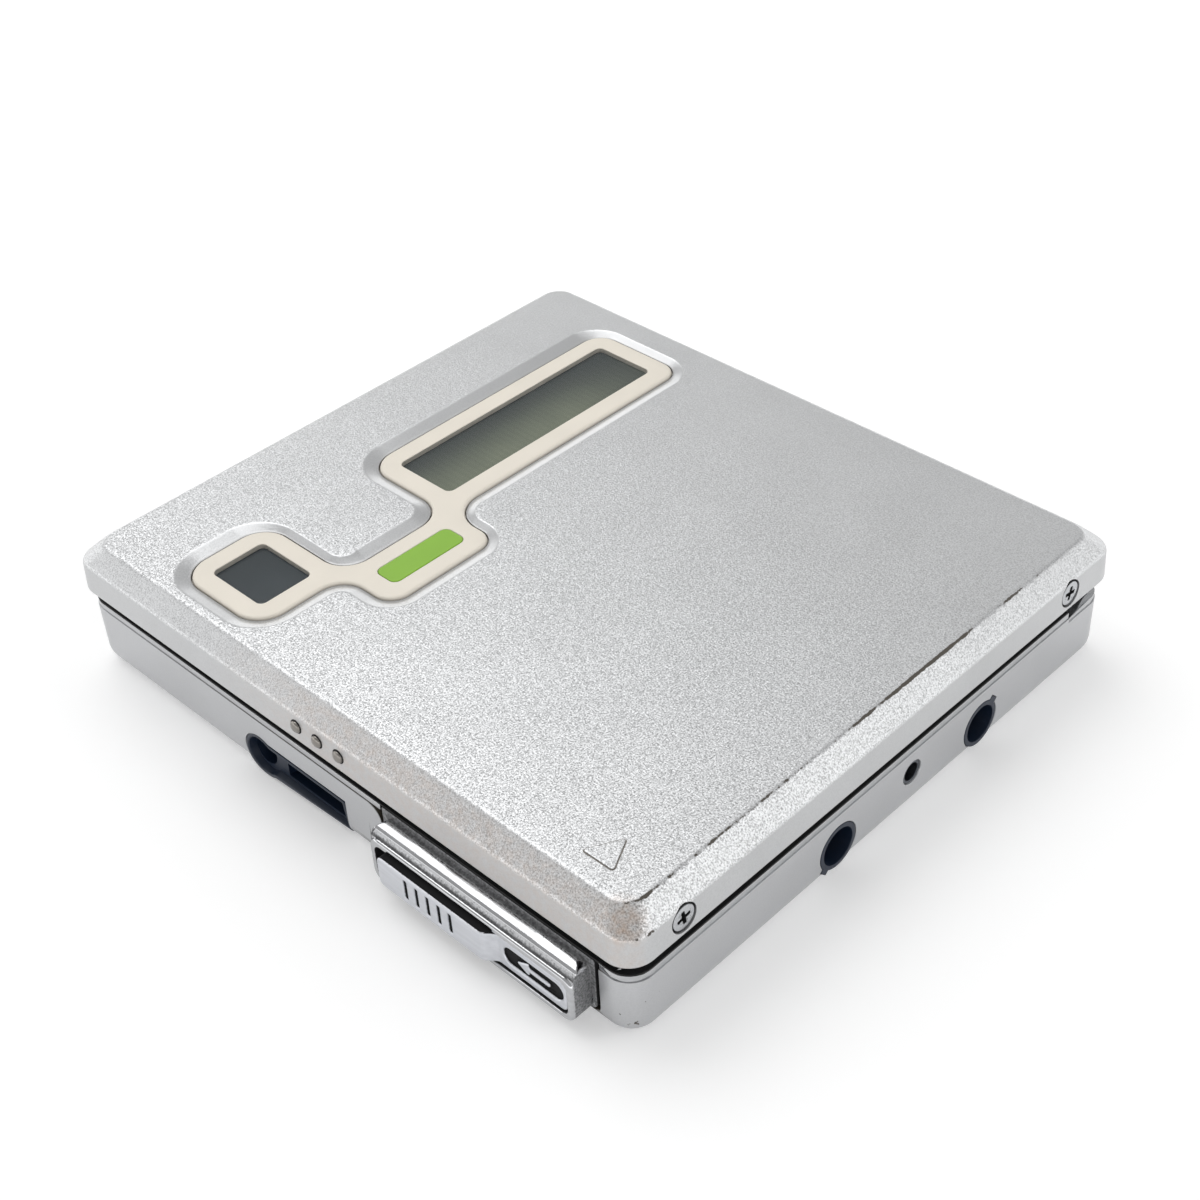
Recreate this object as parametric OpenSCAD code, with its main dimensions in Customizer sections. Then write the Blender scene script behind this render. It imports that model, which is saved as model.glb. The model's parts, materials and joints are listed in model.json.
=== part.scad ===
// Portable minidisc player: hinged lid, base with the disc mechanism, opening slider, jacks and keys.
// Frame: X runs right along the front edge, Y runs to the hinge at the back, Z runs up from the table.

/* [Lid] */
// Width of the lid, left to right
lid_w = 86; // [84:0.5:96]
// Depth of the lid, front to back
lid_d = 77.2; // [76:0.2:86]
// Corner radius of the lid in plan
lid_corner_r = 3; // [2.5:0.25:4.5]
// Height of the lid's upright side wall
lid_wall_h = 3.5; // [3:0.1:4.2]
// Width and height of the chamfer round the lid's top
lid_chamfer = 2.1; // [1.5:0.1:2.6]
// Corner radius of the flat top inside the chamfer
lid_crease_r = 2.4; // [1.5:0.1:4]
// How far the side wall leans in from its lower edge to the chamfer
lid_draft = 0.15; // [0:0.05:0.3]
// Thickness of the lid's top skin
lid_skin = 0.9; // [0.7:0.05:1.1]
// Thickness of the lid's side wall
lid_wall = 1; // [0.8:0.05:1.2]
// Travel of the lid about its hinge in degrees, for the catch's clearance
lid_open_angle = 30; // [20:1:30]

/* [Base] */
// How far the base lies inside the lid's outline
base_inset = 0.5; // [0.3:0.05:0.8]
// Corner radius of the base in plan
base_corner_r = 3; // [2.5:0.25:4.5]
// Radius of the rounded bottom edge
base_bottom_r = 2.2; // [1.6:0.1:2.4]
// Thickness of the base's side wall
base_wall = 1; // [0.9:0.05:1.2]
// Thickness of the base's floor
base_floor = 0.8; // [0.7:0.05:1]
// Height of the chrome band that shows under the seam
rim_h = 0.8; // [0.6:0.05:1.2]
// Dark gap between the chrome band and the lid
seam_gap = 1.3; // [1.1:0.05:1.6]
// How much lower the base lies round the hinge
relief_drop = 0.9; // [0.7:0.05:1.1]
// Length of the lowered stretch at the back
relief_len = 7.6; // [7:0.1:9]

/* [Display] */
// Width of the long display window
lcd_w = 8.7; // [7:0.1:9.6]
// Length of the long display window
lcd_l = 33.5; // [27:0.1:37]
// Width of the square window
icon_w = 8.7; // [7:0.1:9.6]
// Length of the square window
icon_l = 7.1; // [5.5:0.1:7.8]
// Width of the green indicator
pill_w = 3.4; // [2.6:0.1:4]
// Length of the green indicator
pill_l = 10.5; // [8.5:0.1:11.6]
// Bezel left showing round the two windows
bezel_margin = 2.55; // [1.8:0.05:2.9]
// Bezel left showing round the indicator
pill_margin = 2.3; // [1.6:0.05:2.6]
// Width of the neck between the long window and the indicator
neck_w = 2.6; // [2:0.1:3.2]
// Width of the neck between the indicator and the square window
link_w = 2.4; // [2:0.1:3.2]
// Corner radius of the bezel's lobes
bezel_r = 3.1; // [2:0.1:3.5]
// Radius of the hollow corners beside the necks
neck_fillet = 3; // [2:0.1:3.4]
// Width of the sloping recess round the bezel
recess_w = 1.9; // [1:0.05:2.2]
// Depth of the sloping recess
recess_depth = 0.55; // [0.3:0.05:0.65]
// How far the bezel's face lies below the lid's top
bezel_drop = 0.25; // [0.1:0.05:0.5]
// Left to right place of the long window's middle
lcd_x = -22.1; // [-24:0.1:-19]
// Front to back place of the long window's middle
lcd_y = 12.7; // [10:0.1:14]
// Left to right place of the square window's middle
icon_x = -22.25; // [-24:0.1:-19]
// Front to back place of the square window's middle
icon_y = -27.45; // [-28.5:0.1:-26]
// Left to right place of the indicator's middle
pill_x = -11.5; // [-12.5:0.1:-9]
// Front to back place of the indicator's middle
pill_y = -13.95; // [-15:0.1:-13]

/* [Front bar and slider] */
// Length of the chrome bar
bar_w = 28.2; // [26:0.2:30]
// Height of the chrome bar
bar_h = 5.8; // [5.2:0.1:6]
// How far the bar stands out from the base
bar_depth = 2.5; // [2:0.1:3.2]
// Left to right place of the bar's middle
bar_x = 23.2; // [22:0.1:24]
// Height of the bar's middle
bar_z = 4.1; // [3.8:0.1:4.5]
// Thickness of the bar's rim round the slider
bar_rim = 0.75; // [0.6:0.05:1]
// Corner radius of the bar
bar_r = 1.3; // [1:0.1:1.8]
// Height of the bar's crowned top where it meets the rim
crown_z = 8.3; // [7.4:0.1:8.3]
// Depth of the crown, from the wall forwards
crown_d = 2.1; // [1.6:0.1:2.3]
// Corner radius at the ends of the crown
crown_r = 1.6; // [1:0.1:1.8]
// Travel of the slider to the left
slider_travel = 1; // [0.6:0.1:1.2]
// How far the slider's thumb grip stands out of the bar
grip_proud = 0.8; // [0.4:0.1:1]
// Length of the thumb grip
grip_len = 14.6; // [12:0.2:16]
// Length of the slope from the thumb grip down to the rest of the slider
ramp_len = 1.8; // [1:0.1:2.4]
// Gap round the slider
slider_gap = 0.2; // [0.12:0.02:0.3]
// Depth of the slider's pocket in the bar
pocket_depth = 1.4; // [1.2:0.05:1.6]

/* [Jack and terminals] */
// Left to right place of the headphone jack
jack_x = -12.1; // [-14:0.1:-11]
// Height of the headphone jack
jack_z = 2.9; // [2.7:0.05:3.1]
// Radius of the plug bore
jack_bore_r = 1.75; // [1.6:0.05:1.85]
// Length of the plug bore
jack_bore_len = 12.5; // [11:0.5:14]
// Radius of the jack's round opening
jack_r = 2.45; // [2.2:0.05:2.6]
// Right end of the remote slot
remote_x1 = 2.2; // [1:0.1:3.5]
// Height of the remote slot's opening
remote_h = 4.6; // [4.2:0.1:4.8]
// How deep the jack's face lies behind the wall
jack_recess = 0.85; // [0.5:0.05:0.9]
// Width of the rim round the jack's face
jack_rim = 0.5; // [0.3:0.05:0.6]
// Front to back place between the two terminal wells
term_y = 3.3; // [2:0.1:4.5]
// Distance between the two terminal wells
term_pitch = 23.7; // [22:0.1:25]
// Height of the terminal wells
term_z = 3.6; // [3.4:0.05:3.9]
// Radius of a terminal bush
term_r = 2.75; // [2.5:0.05:2.9]
// Radius of a terminal well
well_r = 2.2; // [1.9:0.05:2.3]
// Depth of a terminal well
well_depth = 3.4; // [3:0.1:3.6]
// Radius of the threaded hole for the outside battery case
case_bore_r = 1.05; // [0.9:0.05:1.2]
// Radius of the hole in the wall over the threaded hole
case_hole_r = 1.45; // [1.35:0.05:1.6]
// Height of the threaded hole
case_z = 5.1; // [4.9:0.05:5.4]

/* [Cartridge and battery] */
// Room between the disc cartridge and the lid's outside, at each side
cart_side_room = 7; // [6.8:0.1:9]
// Room between the disc cartridge and the lid's outside, at the front and at the back
cart_end_room = 4.6; // [4.4:0.1:6]
// Thickness of the disc cartridge
cart_h = 5; // [4.8:0.05:5.3]
// Front to back place of the disc's middle
disc_y = -0.5; // [-0.8:0.1:0]
// Sheet thickness of the disc holder
holder_t = 0.4; // [0.3:0.05:0.5]
// Room in the base that the flat battery's length leaves for its contacts and the screw post
battery_room = 16; // [15:0.5:20]
// Width of the flat battery
battery_w = 17; // [16.4:0.1:17.2]
// Thickness of the flat battery
battery_t = 6; // [5.8:0.05:6.3]

/* [Mechanism] */
// Thickness of the mechanism deck
deck_t = 0.6; // [0.5:0.05:0.8]
// Radius of the spindle motor
motor_r = 9; // [8:0.1:9]
// Height of the spindle motor under the deck
motor_h = 3.2; // [2.8:0.1:3.4]
// Radius of the spindle shaft
spindle_r = 0.75; // [0.6:0.05:0.9]
// Radius of the turntable
turntable_r = 5.6; // [5:0.1:6]
// Lens place at the inner end of the sled's travel, from the spindle
lens_r_in = 14.5; // [14.4:0.1:15.5]
// Part of the cartridge's half width that the sled leaves unread at the rim
rim_room = 5; // [4.8:0.1:8]
// Radius of the guide rod
rod_r = 0.75; // [0.6:0.05:0.9]
// Radius of the lead screw
screw_r = 0.9; // [0.8:0.05:0.95]
// Radius of the sled motor
sled_motor_r = 2.3; // [2.1:0.05:2.35]

/* [Keys and hinge] */
// Height of the keys on the left side
key_z = 4.3; // [4.1:0.05:4.5]
// Height of a key's face
key_h = 2.6; // [2.2:0.1:3]
// Gap between a key and the wall
key_gap = 0.15; // [0.1:0.01:0.2]
// How far a key stands out of the wall
key_proud = 0.4; // [0.2:0.05:0.45]
// Travel of a key
key_travel = 0.4; // [0.3:0.05:0.4]
// Length of the play key
play_l = 7; // [6:0.1:8]
// Length of the stop key
stop_l = 5; // [4:0.1:6]
// Length of the volume rocker
volume_l = 12; // [10:0.1:12.5]
// Length of the hold switch
hold_l = 4; // [3:0.1:4.2]
// Travel of the hold switch
hold_travel = 2; // [1.5:0.1:2.2]
// Radius of the lid's hinge pin
hinge_pin_r = 0.75; // [0.6:0.05:0.9]
// Running clearance of pins, shafts and rods
run_gap = 0.05; // [0.03:0.01:0.08]
// Radius of a lid screw's head
screw_head_r = 1.4; // [1.2:0.05:1.5]
// Radius of a chrome dome on the lid's front wall
dome_r = 0.7; // [0.5:0.05:0.8]
// Distance between the chrome domes
dome_pitch = 3.3; // [2.6:0.1:4]

/* [Hidden] */
$fn = 48;
hull_fn = 40;
// Overlap that cuts need to leave clean faces
cut = 1;
// Small seating gap between stacked flat pieces
seat = 0.05;

// Plan of the base
base_w = lid_w - 2 * base_inset;
base_d = lid_d - 2 * base_inset;
wall_x = base_w / 2;
wall_y = base_d / 2;
in_x = wall_x - base_wall;
in_y = wall_y - base_wall;
half_w = lid_w / 2;
half_d = lid_d / 2;

// Standard parts inside: cartridge, battery and the sled's travel
cart_w = lid_w - 2 * cart_side_room;
cart_d = lid_d - 2 * cart_end_room;
battery_l = 2 * in_x - battery_room;
sled_travel = cart_w / 2 - lens_r_in - rim_room;

// Heights, stacked from the floor up through the battery and the cartridge to the lid's top
battery_z = base_floor + 0.1;
roof_z = battery_z + battery_t + seat;
roof_t = 0.35;
holder_z = roof_z + roof_t + 0.3;
cart_z = holder_z + holder_t;
holder_top_z = cart_z + cart_h + 0.1;
lid_board_z = holder_top_z + holder_t + 0.1;
lid_board_t = 0.4;
panel_z = lid_board_z + lid_board_t + seat;
panel_t = 0.5;
flange_z = panel_z + panel_t + seat;
flange_t = 0.5;
ceiling_z = flange_z + flange_t + 0.1;
lid_top_z = ceiling_z + lid_skin;
crease_z = lid_top_z - lid_chamfer;
lid_edge_z = crease_z - lid_wall_h;
rim_z = lid_edge_z - seam_gap - rim_h;
base_h = rim_z;
relief_y = half_d - relief_len;
deck_top = cart_z - 1.5;
deck_z = deck_top - deck_t;
axis_z = deck_z - 2.5;
board_z = base_floor + 0.4;
board_t = 0.8;

// Hinge of the lid
hinge_y = half_d - 3.2;
hinge_z = lid_edge_z - 0.5;
lug_r = 1.6;
lug_t = 2.2;
lid_lug_x = half_w - lid_wall - lid_draft - 0.25 - lug_t;
base_lug_x = lid_lug_x - 0.3 - lug_t;

// Front bar and slider
bar_y = -wall_y - bar_depth;
notch_gap = 0.18;
notch_w = bar_w + 1.5;
notch_z = bar_z - bar_h / 2 + 0.3;
notch_r = 2.2;
notch_foot_r = 1;
plate_x0 = bar_x - bar_w / 2 + bar_rim + slider_gap + slider_travel;
plate_x1 = bar_x + bar_w / 2 - bar_rim - slider_gap;
plate_h = bar_h - 2 * bar_rim - 2 * slider_gap;
plate_y = bar_y + 0.2;
plate_t = pocket_depth - 0.2 - slider_gap;
stem_w = 6;
stem_h = 2.4;
stem_x = bar_x - stem_w / 2;
hook_y = -in_y + 0.2;
hook_t = 0.6;
hook_x = bar_x - 8;
hook_w = 10;
hook_top = 7.5;
catch_y = hook_y + hook_t + 0.2;
catch_t = 0.6;
catch_x = hook_x + 2.2;
catch_w = 3.8;
spring_r = 0.8;
spring_len = 5.4;

// Contacts at the bottom of the terminal wells
contact_r = 1.3;
contact_t = 0.4;

// Battery bay along the back
bay_gap = 0.3;
battery_y = in_y - 2.2 - battery_w / 2;
battery_x = -in_x + 1.5;
bay_wall_y = battery_y - battery_w / 2 - bay_gap - 0.5;
bay_end_x = battery_x + battery_l + 0.8;
door_axis_x = -in_x + 0.2;
door_axis_y = battery_y - battery_w / 2 + 0.7;
door_knuckle_r = 0.9;
door_pin_r = 0.45;
door_y1 = battery_y + battery_w / 2 + 0.15;
door_swing = base_wall + 0.4;
door_z0 = base_floor + 0.1;
door_z1 = roof_z + 0.1;
knuckle_z0 = door_z0 + 0.7;
knuckle_z1 = door_z1 - 1.2;

// Keys on the left wall
hold_y = bay_wall_y - 5.7;
volume_y = hold_y - 13.4;
stop_y = volume_y - 12.5;
play_y = stop_y - 9;
key_flange = 0.4;
key_board_x = -in_x + 1.9;
key_board_t = 0.6;

// Mechanism
deck_left = -in_x + 8.5;
deck_front = -in_y + 7.1;
deck_back = bay_wall_y - 0.4;
damper_at = [for (x = [deck_left + 4, in_x - 10.5], y = [deck_front + 4, deck_back - 4.2]) [x, y]];
post_r = 1.6;
damper_r = 2.3;
damper_neck_r = 1.5;
rod_y = disc_y - 7.3;
screw_y = disc_y + 7;
gear_teeth = 20;
pinion_teeth = 14;
tooth_module = 0.2;
gear_r = gear_teeth * tooth_module / 2;
pinion_r = pinion_teeth * tooth_module / 2;
tooth_clear = 0.02;
gear_x = 8.6;
gear_w = 1.3;
pinion_y = screw_y + gear_r + pinion_r;
tab_t = 0.8;
rod_tab_x = gear_x - 0.2;
screw_tab_x = gear_x + gear_w + 0.3;
far_tab_x = lens_r_in + sled_travel + 6;
sled_motor_x = screw_tab_x + tab_t + 0.3;
sled_motor_l = 9.6;
sled_x0 = lens_r_in - 5;
sled_x1 = lens_r_in + 5.5;
sled_z0 = axis_z - 1.3;
sled_z1 = deck_z - 0.3;
turret = 6.4;
lens_size = 3.2;
lens_gap = 0.3;

// Lobes of the bezel as centre, width and length, then its necks as two ends and a width
bezel_lobes = [[[lcd_x, lcd_y], lcd_w + 2 * bezel_margin, lcd_l + 2 * bezel_margin],
    [[icon_x, icon_y], icon_w + 2 * bezel_margin, icon_l + 2 * bezel_margin],
    [[pill_x, pill_y], pill_w + 2 * pill_margin, pill_l + 2 * pill_margin]];
icon_corner = [icon_x + icon_w / 2, icon_y + icon_l / 2];
pill_foot = [pill_x - pill_w / 2 + 0.3, pill_y - pill_l / 2];
pill_head = [pill_x - pill_w / 2 + 0.3, pill_y + pill_l / 2];
lcd_corner = [lcd_x + lcd_w / 2, lcd_y - lcd_l / 2];
bezel_links = [[lcd_corner, pill_head, neck_w], [icon_corner, pill_foot, link_w]];

// Screws and posts
bottom_at = [[-in_x + 5, -in_y + 4.6], [in_x - 5, -in_y + 4.6], [in_x - 5, in_y - 4.6],
    [-in_x + 5, bay_wall_y - 2.4]];
boss_r = 1.5;
bottom_head_r = 1.3;
small_shank_r = 0.6;
lid_screw_y = [-half_d + 7.2, half_d - 8.9];
lid_screw_z = lid_edge_z + 2.05;
lid_screw_x = half_w - lid_draft * 0.8;
dome_x = -0.1;
dome_z = lid_edge_z + 1.95;
sides = [-1, 1];

// Rounded rectangle, centred
module round_rect(w, d, r) {
    offset(r, $fn = hull_fn)
        square([w - 2 * r, d - 2 * r], center = true);
}

// Rounded plate, centred in plan, standing on its own base plane
module round_plate(w, d, r, h) {
    linear_extrude(h)
        round_rect(w, d, r);
}

// Box given by its lowest and highest corners
module block(low, high) {
    translate(low)
        cube(high - low);
}

// Cylinder along X from x0 to x1
module rod_x(x0, x1, y, z, r) {
    translate([x0, y, z])
        rotate([0, 90, 0])
            cylinder(r = r, h = x1 - x0);
}

// Corner column of the base with its rounded foot
module base_corner(r, foot, h) {
    arc = [for (i = [0:6]) [r - foot + foot * sin(15 * i), foot - foot * cos(15 * i)]];
    rotate_extrude($fn = hull_fn)
        polygon(concat([[0, 0]], arc, [[r, h], [0, h]]));
}

// Solid outside shape of the base
module base_outside() {
    hull()
        for (sx = sides, sy = sides)
            translate([sx * (wall_x - base_corner_r), sy * (wall_y - base_corner_r), 0])
                base_corner(base_corner_r, base_bottom_r, base_h);
}

// Keyhole outline of the jack and remote socket, seen from the front
module jack_outline(gap) {
    translate([jack_x, jack_z])
        circle(jack_r + gap);
    translate([jack_x, jack_z - remote_h / 2 - gap])
        square([remote_x1 - jack_x + gap, remote_h + 2 * gap]);
}

// Extrudes a front-view outline from y0 towards the back
module from_front(y0, depth) {
    translate([0, y0 + depth, 0])
        rotate([90, 0, 0])
            linear_extrude(depth)
                children();
}

// Terminal bush with its key, along X, mouth at the wall
module term_outline(gap, turn) {
    circle(term_r + gap);
    rotate(turn)
        translate([0, -0.6 - gap])
            square([term_r + 0.5 + gap, 1.2 + 2 * gap]);
}

// Runs its children at both terminal wells, turned to look out of the wall
module at_terminals() {
    for (s = sides)
        translate([wall_x, term_y + s * term_pitch / 2, term_z])
            rotate([90, 0, 90])
                children();
}

// Opening in the left wall for a key
module key_window(y, l, travel = 0) {
    block([-wall_x - cut, y - l / 2 - key_gap, key_z - key_h / 2 - key_gap],
        [-in_x + cut / 2, y + l / 2 + key_gap + travel, key_z + key_h / 2 + key_gap]);
}

// Key cap with the flange that holds it behind the wall
module key_cap(y, l) {
    block([-wall_x - key_proud, y - l / 2, key_z - key_h / 2], [-in_x + 0.2, y + l / 2, key_z + key_h / 2]);
    block([-in_x + 0.1, y - l / 2 - key_flange, key_z - key_h / 2 - key_flange],
        [-in_x + 0.4, y + l / 2 + key_flange, key_z + key_h / 2 + key_flange]);
}

// Countersunk screw along Z, head up at z = 0, with a cross recess
module flat_screw(head_r, shank_r, l) {
    head_h = head_r - shank_r;
    difference() {
        union() {
            translate([0, 0, -head_h])
                cylinder(r1 = shank_r, r2 = head_r, h = head_h);
            translate([0, 0, -l])
                cylinder(r = shank_r, h = l - head_h);
        }
        for (turn = [0, 90])
            rotate(turn)
                translate([-head_r * 0.55, -0.16, -0.4])
                    cube([head_r * 1.1, 0.32, cut]);
    }
}

// Opening for a countersunk screw with a little room round it
module screw_seat(head_r, shank_r, l) {
    gap = 0.12;
    head_h = head_r - shank_r;
    translate([0, 0, -head_h - gap])
        cylinder(r1 = shank_r + gap, r2 = head_r + gap, h = head_h + gap);
    cylinder(r = head_r + gap, h = cut);
    translate([0, 0, -l])
        cylinder(r = shank_r + gap, h = l);
}

// Runs its children at every lid screw, looking out of the side wall
module at_lid_screws() {
    for (s = sides, y = lid_screw_y)
        translate([s * lid_screw_x, y, lid_screw_z])
            rotate([0, s * 90, 0])
                children();
}

// Spur gear along X
module spur_gear(x0, y, teeth, w, bore_r = 0) {
    pitch_r = teeth * tooth_module / 2;
    root_r = pitch_r - 1.2 * tooth_module;
    tip_r = pitch_r - tooth_clear;
    tooth_w = tooth_module * 1.4;
    translate([x0, y, axis_z])
        rotate([0, 90, 0]) {
            cylinder(r = root_r, h = w);
            for (i = [0:teeth - 1])
                rotate(i * 360 / teeth)
                    translate([0, -tooth_w / 2, 0])
                        cube([tip_r, tooth_w, w]);
        }
}

// Bezel outline: three lobes and two necks with rounded inner corners
module bezel_outline(grow = 0) {
    offset(r = grow, $fn = hull_fn)
        offset(r = -neck_fillet, $fn = hull_fn)
            offset(r = neck_fillet, $fn = hull_fn) {
                for (lobe = bezel_lobes)
                    translate(lobe[0])
                        round_rect(lobe[1], lobe[2], bezel_r);
                for (link = bezel_links)
                    neck(link[0], link[1], link[2]);
            }
}

// Straight neck between two points of the bezel
module neck(from, to, w) {
    run = to - from;
    translate(from)
        rotate(atan2(run[1], run[0]))
            translate([0, -w / 2])
                square([norm(run), w]);
}

// Window outlines in the bezel
module lcd_hole(gap = 0) {
    translate([lcd_x, lcd_y])
        round_rect(lcd_w - 2 * gap, lcd_l - 2 * gap, 0.8);
}

module icon_hole(gap = 0) {
    translate([icon_x, icon_y])
        round_rect(icon_w - 2 * gap, icon_l - 2 * gap, 0.8);
}

module pill_hole(gap = 0) {
    translate([pill_x, pill_y])
        round_rect(pill_w - 2 * gap, pill_l - 2 * gap, 0.9);
}

// Lofted lid outline: draft on the wall, chamfer above it; inset gives the inside
module lid_form(inset, z_low, z_top) {
    leaf = 0.01;
    corner = lid_corner_r - inset;
    crease = lid_w - 2 * (lid_chamfer + lid_draft);
    hull() {
        translate([0, 0, z_low])
            round_plate(lid_w - 2 * inset, lid_d - 2 * inset, corner, leaf);
        translate([0, 0, crease_z - inset * 0.41])
            round_plate(lid_w - 2 * lid_draft - 2 * inset, lid_d - 2 * lid_draft - 2 * inset, corner, leaf);
        translate([0, 0, z_top - leaf])
            round_plate(crease - inset * 0.82, crease - lid_w + lid_d - inset * 0.82, lid_crease_r, leaf);
    }
}

// One sloping side of the recess: a lobe that widens towards the lid's top
module recess_lobe(at, w, d, turn = 0, r = bezel_r) {
    leaf = 0.01;
    ledge = 0.3;
    translate([at[0], at[1], lid_top_z - recess_depth])
        rotate(turn)
            hull() {
                round_plate(w + ledge, d + ledge, r, leaf);
                translate([0, 0, recess_depth + seat])
                    round_plate(w + 2 * recess_w, d + 2 * recess_w, r + recess_w * 0.6, leaf);
            }
}

// Sloping recess round the whole bezel
module recess_slopes() {
    for (lobe = bezel_lobes)
        recess_lobe(lobe[0], lobe[1], lobe[2]);
    for (link = bezel_links)
        recess_lobe((link[0] + link[1]) / 2, norm(link[1] - link[0]), link[2],
            atan2(link[1][1] - link[0][1], link[1][0] - link[0][0]), 0.3);
}

module base_shell() {
    color("#c3c4c5") {
        difference() {
            base_outside();
            translate([0, 0, base_floor])
                round_plate(2 * in_x, 2 * in_y, base_corner_r - base_wall, base_h);
            // Lowered stretch round the hinge
            block([-wall_x - cut, relief_y, base_h - relief_drop], [wall_x + cut, wall_y + cut, base_h + cut]);
            // Notch of the front bar, with its rounded upper corner on the left
            translate([bar_x, 0, notch_z + base_h / 2])
                from_front(-wall_y - cut, base_wall + 2 * cut)
                    round_rect(notch_w, base_h, notch_foot_r);
            translate([bar_x - notch_w / 2 - notch_r, -wall_y - cut, base_h - notch_r])
                difference() {
                    cube([notch_r + 0.1, base_wall + 2 * cut, notch_r + cut]);
                    rotate([-90, 0, 0])
                        cylinder(r = notch_r, h = base_wall + 2 * cut);
                }
            // Jack and remote socket
            from_front(-wall_y - cut, cut + base_wall + 0.4)
                jack_outline(0.05);
            // Terminal wells and the threaded hole between them
            for (s = sides)
                translate([in_x - cut, term_y + s * term_pitch / 2, term_z])
                    rotate([90, 0, 90])
                        linear_extrude(base_wall + 2 * cut)
                            term_outline(seat, 135 - s * 90);
            rod_x(in_x - cut, wall_x + cut, term_y, case_z, case_hole_r);
            // Keys
            key_window(play_y, play_l);
            key_window(stop_y, stop_l);
            key_window(volume_y, volume_l);
            key_window(hold_y, hold_l, hold_travel);
            // Battery door
            block([-wall_x - cut, door_axis_y - door_swing - 0.2, base_floor],
                [-in_x + cut / 2, door_y1 + 0.15, door_z1 + 0.1]);
            for (at = bottom_at)
                translate([at[0], at[1], 0])
                    mirror([0, 0, 1])
                        screw_seat(bottom_head_r, small_shank_r, base_floor + cut);
        }
        // Posts of the mechanism deck
        for (at = damper_at)
            difference() {
                translate([at[0], at[1], base_floor - seat])
                    cylinder(r = post_r, h = deck_z - 0.8 - base_floor);
                translate([at[0], at[1], base_floor + 1])
                    cylinder(r = small_shank_r + 0.02, h = deck_z);
            }
        // Rests of the main board
        for (at = [[-in_x + 7.5, -8], [-in_x + 7.5, 8], [-14, bay_wall_y - 4], [3, -in_y + 19]])
            translate([at[0], at[1], base_floor - seat])
                cylinder(r = 1.2, h = board_z - base_floor + seat);
        // Walls of the battery bay
        block([-in_x + 3, bay_wall_y, base_floor - seat], [bay_end_x, bay_wall_y + 0.5, roof_z - seat]);
        block([bay_end_x, bay_wall_y, base_floor - seat], [bay_end_x + 1, in_y + seat, roof_z - 0.9]);
        // Bearings of the battery door's pin
        difference() {
            for (z = [[base_floor - seat, knuckle_z0 - 0.1], [knuckle_z1 + 0.1, roof_z - seat]]) {
                translate([door_axis_x, door_axis_y, z[0]])
                    cylinder(r = door_knuckle_r, h = z[1] - z[0]);
                block([-in_x - seat, door_axis_y - door_swing - 1, z[0]],
                    [door_axis_x + door_knuckle_r, door_axis_y, z[1]]);
            }
            translate([door_axis_x, door_axis_y, base_floor + 0.1])
                cylinder(r = door_pin_r + run_gap, h = base_h);
        }
    }
}

module mid_frame() {
    lip_t = 0.5;
    lip_h = 0.4;
    band = 1.4;
    color("#d9dbdd") {
        // Visible band, stepped down round the hinge
        difference() {
            translate([0, 0, rim_z - relief_drop])
                round_plate(base_w - 0.2, base_d - 0.2, base_corner_r - 0.1, rim_h + relief_drop);
            translate([0, 0, rim_z - relief_drop - cut])
                round_plate(base_w - 0.2 - 2 * band, base_d - 0.2 - 2 * band, 0.6, base_h);
            block([-wall_x - cut, -wall_y - cut, 0], [wall_x + cut, relief_y, rim_z]);
            block([-wall_x - cut, relief_y, rim_z + rim_h - relief_drop], [wall_x + cut, wall_y + cut, base_h * 2]);
            block([bar_x - notch_w / 2, -wall_y - cut, 0], [bar_x + notch_w / 2, -in_y + band, base_h * 2]);
        }
        // Lip that locates the band inside the base
        difference() {
            translate([0, 0, rim_z - relief_drop - lip_h])
                round_plate(2 * in_x - 0.1, 2 * in_y - 0.1, base_corner_r - base_wall, lip_h + relief_drop + 0.1);
            translate([0, 0, 0])
                round_plate(2 * (in_x - lip_t), 2 * (in_y - lip_t), base_corner_r - base_wall - lip_t, base_h * 2);
            block([-in_x - cut, relief_y, rim_z - relief_drop + 0.1], [in_x + cut, in_y + cut, base_h * 2]);
            block([bar_x - notch_w / 2 - 1, -wall_y, 0], [bar_x + notch_w / 2 + 1, -in_y + band, base_h * 2]);
            block([-wall_x, door_axis_y - 2.6, 0], [-in_x + band, door_y1 + 0.4, rim_z - 0.15]);
        }
        // Bosses of the bottom screws and the webs that carry them
        for (at = bottom_at) {
            difference() {
                translate([at[0], at[1], base_floor + seat])
                    cylinder(r = boss_r, h = rim_z - 1.4 - base_floor);
                translate([at[0], at[1], 0])
                    cylinder(r = small_shank_r + 0.02, h = 4.6);
            }
            block([min(at[0], sign(at[0]) * (in_x - 0.1)), at[1] - 0.5, rim_z - 1.9],
                [max(at[0], sign(at[0]) * (in_x - 0.1)), at[1] + 0.5, rim_z - 1.2]);
        }
        // Hinge lugs
        for (s = sides)
            difference() {
                union() {
                    rod_x(s > 0 ? base_lug_x : -base_lug_x - lug_t, s > 0 ? base_lug_x + lug_t : -base_lug_x,
                        hinge_y, hinge_z, lug_r);
                    block([s > 0 ? base_lug_x : -base_lug_x - lug_t, hinge_y - lug_r, rim_z - relief_drop],
                        [s > 0 ? base_lug_x + lug_t : -base_lug_x, hinge_y + lug_r, hinge_z]);
                }
                rod_x(-half_w, half_w, hinge_y, hinge_z, hinge_pin_r + 0.02);
            }
    }
}

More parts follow.
